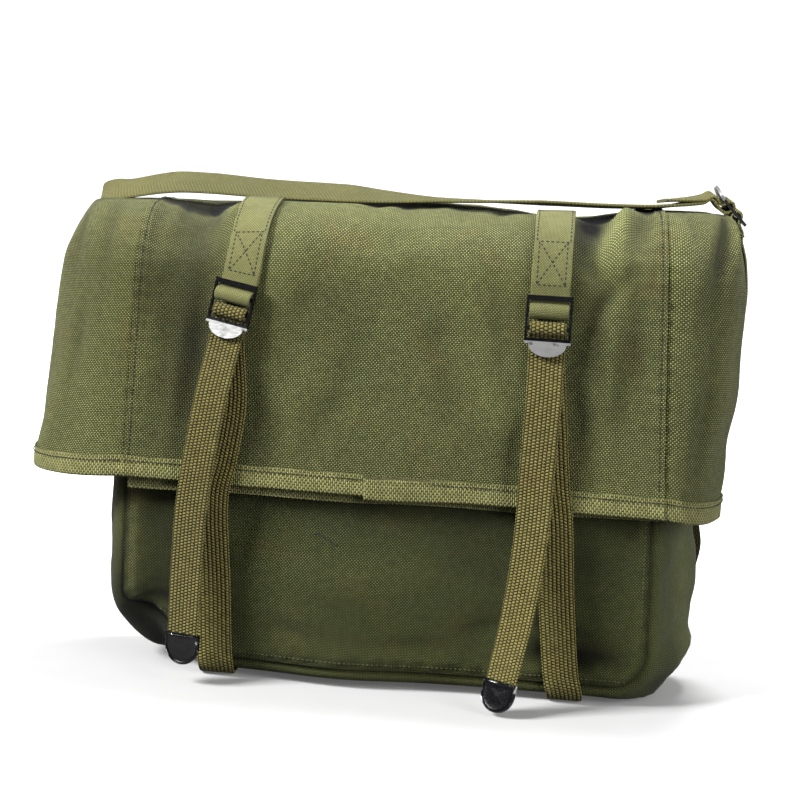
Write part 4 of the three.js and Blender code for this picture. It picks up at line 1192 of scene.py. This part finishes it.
# Buckle: a plate with three slots, by distance below its top edge, and a rounded lift tab
buckle = {
    "thick": 1.8, "rail": 1.4, "play": 0.5, "lift": 6.25,
    "slots": [(-3.0, -8.0), (-10.6, -18.0), (-20.6, -25.2)],
    "neck": -27.0, "tabStart": -28.5, "tabRound": 7.5, "tabInset": 2.4, "tabLift": 2.2, "liftFrom": -24.0,
    "liftRun": 12.0, "liftPower": 1.4, "tabSteps": 9, "columns": 11, "bevel": 0.5, "bevelFrom": 40.0, "sharp": 60.0,
}
# Ways of a closing strap and of a chape through a buckle: distance up the buckle and out from the cloth
strapThread = [
    (-34, 1.6), (-22, 1.6), (-18.2, 2.6), (-16.2, 5), (-16.7, 7.4), (-19.3, 8.7), (-21.9, 7.6), (-22.9, 5.4),
    (-24.6, 4), (-34, 4),
]
chapeThread = [
    (6, 1.2), (-6, 1.2), (-11, 1.9), (-13, 4), (-12.6, 7.2), (-9.3, 9), (-6.1, 7.4), (-5.4, 4.9), (-1, 3.2), (8, 3.2),
]


# Points in a buckle's own frame: its origin plus the distances up and out along the frame's directions
def inFrame(place, rows):
    rows = np.asarray(rows, float)
    return place["origin"] + rows[:, :1] * place["up"] + rows[:, 1:2] * place["out"]


# The buckle's plate: a grid over across and up whose cells in the slots are left out, with a wall round every edge;
# below the tab's start the grid narrows as half an ellipse and lifts away from the cloth
def makeBuckle(name, node, place, wide):
    slotHalf = wide / 2 + buckle["play"]
    half = slotHalf + buckle["rail"]
    tabHalf = half - buckle["tabInset"]
    turns = np.linspace(0, math.pi / 2, buckle["tabSteps"])
    start = buckle["tabStart"]
    ups = [0.0] + [level for slot in buckle["slots"] for level in slot] + [buckle["neck"], start]
    levels = np.array(ups + [start] + [start - buckle["tabRound"] * math.sin(t) for t in turns[1:]])
    halves = np.array([half] * len(ups) + [tabHalf * math.cos(t) for t in turns])
    halves[-1] = 0.0
    columns = np.concatenate([[-half], np.linspace(-slotHalf, slotHalf, buckle["columns"]), [half]]) / half
    across = halves[:, None] * columns[None, :]
    rows, count = across.shape
    up = np.broadcast_to(levels[:, None], across.shape)
    bend = np.clip((buckle["liftFrom"] - up) / buckle["liftRun"], 0, 1)
    lift = buckle["tabLift"] * bend ** buckle["liftPower"]
    cell = np.ones((rows - 1, count - 1), bool)
    cell[1:2 * len(buckle["slots"]):2, 1:-1] = False
    middle = place["origin"] + across[..., None] * place["across"] + up[..., None] * place["up"]
    faceOuts = [buckle["lift"] + lift + deep for deep in (buckle["thick"] / 2, -buckle["thick"] / 2)]
    points = np.concatenate([(middle + out[..., None] * place["out"]).reshape(-1, 3) for out in faceOuts])
    total = rows * count
    index = np.arange(total).reshape(rows, count)
    quad = np.stack([index[:-1, :-1], index[1:, :-1], index[1:, 1:], index[:-1, 1:]], axis=-1)
    tab = np.broadcast_to((np.arange(rows - 1) >= len(ups) - 2)[:, None], cell.shape)
    padded = np.pad(cell, 1)
    walls, wallTab = [], []
    for near, a, b in (
        (padded[:-2, 1:-1], 3, 0), (padded[2:, 1:-1], 1, 2), (padded[1:-1, :-2], 0, 1), (padded[1:-1, 2:], 2, 3),
    ):
        bare = cell & ~near
        edge = quad[bare]
        walls.append(np.stack([edge[:, b], edge[:, a], edge[:, a] + total, edge[:, b] + total], axis=-1))
        wallTab.append(tab[bare])
    faces = [quad[cell], quad[cell][:, ::-1] + total, *walls]
    shine = np.concatenate([tab[cell], tab[cell], *wallTab]).astype(int)
    piece = makePiece(name, settled(points), faces, None, [blackSteel, brightSteel], shine, weld=weldGap)
    bevel = piece.modifiers.new("edge", "BEVEL")
    bevel.width = buckle["bevel"] * toMetres
    bevel.segments = 2
    bevel.limit_method = "ANGLE"
    bevel.angle_limit = math.radians(buckle["bevelFrom"])
    piece.data.set_sharp_from_angle(angle=math.radians(buckle["sharp"]))
    settle(piece, "bright_steel", node)


# Tip: rings from its edge to its middle, by how far in they lie and their share of half the thickness
tip = {
    "long": 19.0, "thick": 4.2, "lap": 0.7, "rim": 1.5, "straight": 2.5, "inset": (0.0, 0.12, 0.42, 0.8, 1.2),
    "front": (0.0, 0.55, 0.86, 1.0, 0.94, 0.62, 0.55, 0.66, 0.7),
    "behind": (0.6, 0.9, 1.0, 1.0, 1.0, 1.0, 1.0, 1.0), "weld": 1.5e-5,
}


# The strap's metal tip: a pressed shell whose outline is a rectangle with a half round end; the face is sunk
# inside a raised rim, and the profile from rim to back is carried round the outline
def makeTip(name, node, top, across, up, wide):
    out = np.cross(across, up)
    half = wide / 2 + tip["lap"]
    turn = np.linspace(math.pi, 2 * math.pi, 21)
    outline = np.array(
        [(-half, 0.0), (-half, -tip["straight"]), (-half, half - tip["long"])]
        + [(half * math.cos(t), half - tip["long"] + half * math.sin(t)) for t in turn[1:-1]]
        + [(half, half - tip["long"]), (half, -tip["straight"]), (half, 0.0)]
        + [(half * k, -0.5 * (1 - k * k)) for k in (0.6, 0.2, -0.2, -0.6)]
    )
    middle = np.array([0.0, -tip["long"] * 0.5])
    inset = [*tip["inset"], tip["rim"], tip["rim"] + 0.7, half * 0.55, tip["long"]]
    reach = np.linalg.norm(outline - middle, axis=1) * 0.999
    rings = [outline - unit(outline - middle) * np.minimum(deep, reach)[:, None] for deep in inset]
    levels = [tip["thick"] / 2 * share for share in tip["front"]]
    backLevels = [-tip["thick"] / 2 * share for share in tip["behind"]]
    raised = [np.insert(ring, 2, level, axis=1) for ring, level in zip(rings, levels)]
    backs = [np.insert(ring, 2, level, axis=1) for ring, level in zip(rings[1:], backLevels)]
    stack = np.array(backs[::-1] + raised)
    local = stack.reshape(-1, 3)
    points = top + local[:, :1] * across + local[:, 1:2] * up + local[:, 2:] * out
    rows, count = stack.shape[:2]
    index = np.arange(rows * count).reshape(rows, count)
    faces = [ringFaces(index), index[:1, ::-1], index[-1:]]
    row = np.repeat(np.arange(rows - 1), count)
    bright = ((row >= len(backs) - 1) & (row <= len(backs) + 3)).astype(int)
    metals = np.concatenate([bright, [0, 0]])
    piece = makePiece(name, settled(points), faces, None, [blackSteel, rimSteel], metals, weld=tip["weld"], sharp=70)
    settle(piece, "black_steel", node)


# Closing straps: where each buckle sits and turns, the chape's top, the strap's foot and climb, and its free end
# A strap's tone is a painted light along its run up to the buckle, making up for the shadow of its free end; on the
# left the rest is a little darker
closings = [
    {
        "label": "left", "across": -96.0, "along": 126.0, "roll": 11.0, "face": 18.0, "chapeTop": -87.0,
        "foot": -106.0, "climb": -110.0, "tone": [(0, 0.3), (0.53, 0.3), (0.58, -0.16)],
        "freeEnd": [
            (-110, -78, 184, 18), (-116, -79.5, 148, 19), (-121, -80, 110, 20), (-123, -80.5, 70, 22),
            (-123.5, -84, 32, 25),
        ],
    },
    {
        "label": "right", "across": 91.0, "along": 127.0, "roll": 1.0, "face": 0.0, "chapeTop": 93.0,
        "foot": 111.0, "climb": 100.0, "tone": [(0, 0.3), (0.53, 0.3), (0.58, 0.0)],
        "freeEnd": [(90, -75, 188, 3), (88, -77, 148, 8), (86, -80, 106, 18), (80, -87, 60, 28), (72, -97, 21, 35)],
    },
]
# The chape's tone darkens its last stretch under the carrying strap, a painted shadow
chapeRun = {
    "low": 145.0, "double": 160.0, "bend": 200.0, "high": 194.0, "steps": 9, "under": (152.0, 143.0),
    "tone": [(0, 0.0), (0.93, 0.0), (1, -0.6)],
}
# The strap's way under the base and up the front by y, z and share of its climb, then up the flap by distance
# from the hem, share and sink
underBase = [
    (42, 0.95, 0), (0, 0.95, 0), (-30, 0.95, 0), (-42, 1.08, 0), (-50, 1.8, 0), (-56, 4.8, 0), (-59.3, 10, 0.1),
    (-60.4, 17, 0.25), (-64, 60, 0.65),
]
strapClimb = [(-6, 0, 0), (14, 0.3, 0), (50, 0.65, 1.0)]
plainAcross = np.array([1.0, 0.0, 0.0])


# Turns a direction about an axis: cosine of it, sine of the axis crossed with it, and what lies along the axis kept
def turned(v, axis, degrees):
    t = math.radians(degrees)
    return v * math.cos(t) + np.cross(axis, v) * math.sin(t) + axis * np.dot(axis, v) * (1 - math.cos(t))


# One closing: a buckle at rest on the flap, a chape folded through it, and the strap from under the base through
# the buckle to its tip; each band runs through stations that lie on the cloth or in the buckle's frame
def makeClosing(closing):
    label, x0, along0, face = closing["label"], closing["across"], closing["along"], closing["face"]
    rest = lambda x, at, out, wide, turn: restOnFlap(np.array([float(x)]), np.array([float(at)]), out, wide, turn)[0]
    acrossAt = lambda turn: np.array([math.cos(math.radians(turn)), -math.sin(math.radians(turn)), 0.0])
    chapeX = lambda at: x0 + (closing["chapeTop"] - x0) * (at - along0) / (chapeRun["bend"] - along0)
    below = rest(x0, along0 - 30, pack["air"], pack["chapeWide"], face)
    above = rest(x0, along0, pack["air"], pack["chapeWide"], face)
    rise = unit(above - below)
    out = np.cross(plainAcross, rise)
    up, across = turned(rise, out, -closing["roll"]), turned(plainAcross, out, -closing["roll"])
    place = {"origin": above, "up": up, "out": turned(out, up, -face), "across": turned(across, up, -face)}
    makeBuckle("lever_buckle_" + label, "buckle_" + label, place, pack["chapeWide"])

    alongs = np.linspace(chapeRun["low"], chapeRun["high"], chapeRun["steps"])
    under = (pack["chapeThick"] + pack["air"]) * (1 - ease(alongs, chapeRun["double"] - 8, chapeRun["bend"]))
    lift = 3 * pack["air"] + pack["chapeThick"] / 2
    fades = face * (1 - ease(alongs, chapeRun["double"], chapeRun["high"]))
    upper = [rest(chapeX(a), a, lift + u, pack["chapeWide"], f) for a, u, f in zip(alongs, under, fades)]
    low = pack["air"] + pack["chapeThick"] / 2
    lower = [rest(chapeX(a), a, low, pack["chapeWide"], face) for a in chapeRun["under"]]
    stations = np.concatenate([lower, inFrame(place, chapeThread), upper])
    acrosses = [acrossAt(face)] * len(lower) + [place["across"]] * len(chapeThread) + [acrossAt(f) for f in fades]
    band = bandPiece("chape_band_" + label, stations, acrosses, chapeBand, chapeCloth, chapeRun["tone"])
    settleBand(band, "webbing", "chape_" + label)
    chapeStitches(label, band)

    hemOut = pack["air"] + pack["tape"] + pack["air"] + pack["strapThick"] / 2
    stations = [(closing["foot"] + (closing["climb"] - closing["foot"]) * s, y, z) for y, z, s in underBase]
    acrosses = [plainAcross] * len(stations)
    for along, share, sink in strapClimb:
        x = closing["climb"] + (x0 - closing["climb"]) * share
        stations.append(rest(x, along, hemOut - sink, pack["strapWide"], face * share))
        acrosses.append(acrossAt(face * share))
    stations += list(inFrame(place, strapThread))
    acrosses += [place["across"]] * len(strapThread)
    for x, y, z, twist in closing["freeEnd"]:
        stations.append((x, y, z))
        acrosses.append(acrossAt(twist))
    band = bandPiece("strap_" + label, stations, acrosses, closingBand, webbingCloth, closing["tone"])
    settleBand(band, "webbing", "closing_strap_" + label)
    end, across = band["points"][-1], band["across"][-1]
    upward = unit(band["points"][-3] - end)
    top = end - upward * pack["air"]
    makeTip("metal_tip_" + label, "strap_tip_" + label, top, across, upward, pack["strapWide"])


for closing in closings:
    makeClosing(closing)
print("closing straps made")

# Carrying strap across the top, with its buckle and chape at the right
carry = {
    "up": (0.7, 0.12, -0.7), "lean": (0.7, 0.02, 0.7), "origin": (205.5, 20.5, 287.0), "short": 0.76,
    "lower": [
        (-150, 57.6, 266, 90), (-178, 60.5, 277, 88), (-198, 58.5, 286, 70), (-203, 48.5, 295, 36),
        (-194, 35, 301.4, 27), (-181, 28, 303.6, 28), (-152, 18, 308.8, 32), (-129, 15, 308.8, 30),
        (-90, 11, 306.0, 26), (-39, 9, 304.0, 23), (-15, 9, 302.4, 14), (17, 10, 301.1, 2),
        (83, 8, 300.8, -6), (128, 9, 299.8, -5), (160, 12, 300.3, -4),
    ],
    "thread": [
        (-34, 1.2), (-22, 1.2), (-17.7, 2.4), (-15.8, 5), (-16.1, 7.7), (-19.3, 9.2), (-22.3, 7.9), (-23, 5.4),
        (-24.2, 3.7), (-34, 3.5),
    ],
    "upper": [(158, 12, 303.4, -4)],
    "turn": (-37.0, -4.4, -1.7),
    "fold": [(3, 2.2), (7, -1.2)],
    "tab": [(112, 0.7, 1.5), (116, 0.61, 0.0), (120, 0.52, 0.0), (122, 0.44, 0.0)],
}


# The strap runs through stations given by place and tilt, through the buckle's frame and back on itself; the chape
# goes through the same buckle and lies on the right wing by turn, rise and lift
def makeCarry():
    up = unit(np.array(carry["up"]))
    lean = np.array(carry["lean"])
    out = unit(lean - up * np.dot(lean, up))
    place = {"origin": np.array(carry["origin"]), "up": up * carry["short"], "out": out, "across": np.cross(up, out)}
    makeBuckle("carry_lever_buckle", "carry_buckle", place, pack["carryWide"])
    tilted = lambda rows: [(0.0, -math.cos(math.radians(t)), -math.sin(math.radians(t))) for _, _, _, t in rows]
    turnUp, turnLow, turnHigh = carry["turn"]
    threaded = [(turnUp, turnLow)] + carry["thread"] + [(turnUp, turnHigh)]
    lower, upper = ([row[:3] for row in carry[key]] for key in ("lower", "upper"))
    stations = lower + list(inFrame(place, threaded)) + upper
    acrosses = tilted(carry["lower"]) + [place["across"]] * len(threaded) + tilted(carry["upper"])
    band = bandPiece("carrying_strap", stations, acrosses, carryBand, carryCloth)
    settleBand(band, "webbing", "carry_strap")
    angle, rise, lift = (np.array(column, float) for column in zip(*carry["tab"]))
    onWing = flapWing(1, angle, rise, lift + 2 * pack["air"] + pack["chapeThick"] / 2)
    along = flapWing(1, angle - 1, rise, 0, fine=False) - flapWing(1, angle + 1, rise, 0, fine=False)
    threaded = chapeThread[:-1] + carry["fold"]
    stations = np.concatenate([inFrame(place, threaded), onWing])
    acrosses = [place["across"]] * len(threaded) + list(unit(along))
    band = bandPiece("carry_chape_band", stations, acrosses, carryTabBand, chapeCloth)
    settleBand(band, "webbing", "carry_chape")


makeCarry()
print("carrying strap made")

# Bound seam edges at the bag's back corners
edgeBand = {"wide": backEdge["wide"], "thick": backEdge["thick"], "columns": 7, "step": 1.5, "waver": 0.02, "seed": 61}


# A strip that stands up beside a back corner, out from the bag's half width by a table of heights
def makeBackEdge(side, label):
    z = np.linspace(backEdge["start"][side], backEdge["bulge"][-1][0], backEdge["stations"])
    reach = backEdge["gap"] + backEdge["wide"] / 2 + tableAt(backEdge["bulge"], z, 1 if side < 0 else 2)
    x = pack["bagShift"] + side * (pack["bagHalf"] + reach)
    y = np.full(len(z), bag["back"] - pack["canvas"] + backEdge["thick"] / 2)
    stations = np.stack([x, y, z], axis=-1)
    band = bandPiece("seam_strip_" + label, stations, [plainAcross] * len(z), edgeBand, edgeCloth)
    settleBand(band, "binding_tape", "back_edge_" + label)


makeBackEdge(-1, "left")
makeBackEdge(1, "right")
print("seam strips made")

# Stage: pale floor and soft light; a light's row is its name, power, place, aim and size
studio = {
    "floor": 60.0, "floorGrey": 0.42, "floorGlow": 0.08, "farGlow": 1.1, "glowFrom": 0.22, "glowTo": 0.7,
    "grain": 30.0, "grainShare": 0.02, "behind": 1.1, "before": 0.2, "below": 0.05, "turn": (-0.1, 0.6),
    "horizon": (-0.06, -0.01),
    "lights": [
        ("key_light", 300.0, (-2.4, -1.5, 2.2), (0.0, 0.0, 0.15), 1.1),
        ("fill_light", 62.0, (1.9, -1.7, 1.0), (0.0, 0.0, 0.15), 1.5),
        ("top_light", 90.0, (0.2, 0.8, 2.4), (0.0, 0.0, 0.1), 0.8),
    ],
}


# The sky is bright behind the pack, dim before it and nearly dark below, by the direction's y and z
def makeWorld():
    world = bpy.data.worlds.new("studio")
    world.use_nodes = True
    tree = world.node_tree
    direction = addNode(tree, "ShaderNodeTexCoord").outputs["Generated"]
    _, y, z = addNode(tree, "ShaderNodeSeparateXYZ", {0: direction}).outputs
    sky = rangeNode(tree, y, *studio["turn"], studio["before"], studio["behind"])
    above = rangeNode(tree, z, *studio["horizon"])
    sky = mathNode(tree, "MULTIPLY_ADD", mathNode(tree, "SUBTRACT", sky, studio["below"]), above, studio["below"])
    tree.links.new(sky, tree.nodes["Background"].inputs[1])
    tree.nodes["Background"].inputs[0].default_value = (1.0, 1.0, 1.0, 1.0)
    bpy.context.scene.world = world


# A flat square of paper that glows more with distance from the pack, so that it goes over into the white behind
def makeFloor():
    corners = np.array([(-1, -1, 0), (1, -1, 0), (1, 1, 0), (-1, 1, 0)]) * studio["floor"]
    floor = makePiece("floor", corners, [np.array([[0, 1, 2, 3]])])
    material, tree, shader = newMaterial("floor_paper")
    place = addNode(tree, "ShaderNodeTexCoord").outputs["Object"]
    grain = rangeNode(tree, noiseNode(tree, place, studio["grain"]), 0.3, 0.7, 0.0, studio["grainShare"])
    grey = (studio["floorGrey"],) * 3 + (1.0,)
    tree.links.new(mixColour(tree, grain, grey, (0.8, 0.8, 0.8, 1.0)), shader.inputs["Base Color"])
    shader.inputs["Roughness"].default_value = 0.95
    shader.inputs["Specular IOR Level"].default_value = 0.0
    shader.inputs["Emission Color"].default_value = (1.0, 1.0, 1.0, 1.0)
    far = addNode(tree, "ShaderNodeVectorMath", {0: place}, operation="LENGTH").outputs["Value"]
    glow = rangeNode(tree, far, studio["glowFrom"], studio["glowTo"], studio["floorGlow"], studio["farGlow"])
    tree.links.new(glow, shader.inputs["Emission Strength"])
    floor.data.materials.append(material)
    floor.visible_diffuse = False


# Square lights, each turned so that its back points away from its aim
def makeLights():
    for name, power, spot, aim, wide in studio["lights"]:
        data = bpy.data.lights.new(name, "AREA")
        data.energy = power
        data.shape = "SQUARE"
        data.size = wide
        light = bpy.data.objects.new(name, data)
        back = unit(np.array(spot) - np.array(aim))
        side = unit(np.cross([0.0, 0.0, 1.0], back))
        matrix = np.eye(4)
        matrix[:3] = np.stack([side, np.cross(back, side), back, spot], axis=1)
        light.matrix_world = Matrix(matrix.tolist())
        bpy.context.scene.collection.objects.link(light)


makeFloor()
makeWorld()
makeLights()
bpy.context.scene.view_settings.view_transform = "Standard"
print("studio lit")
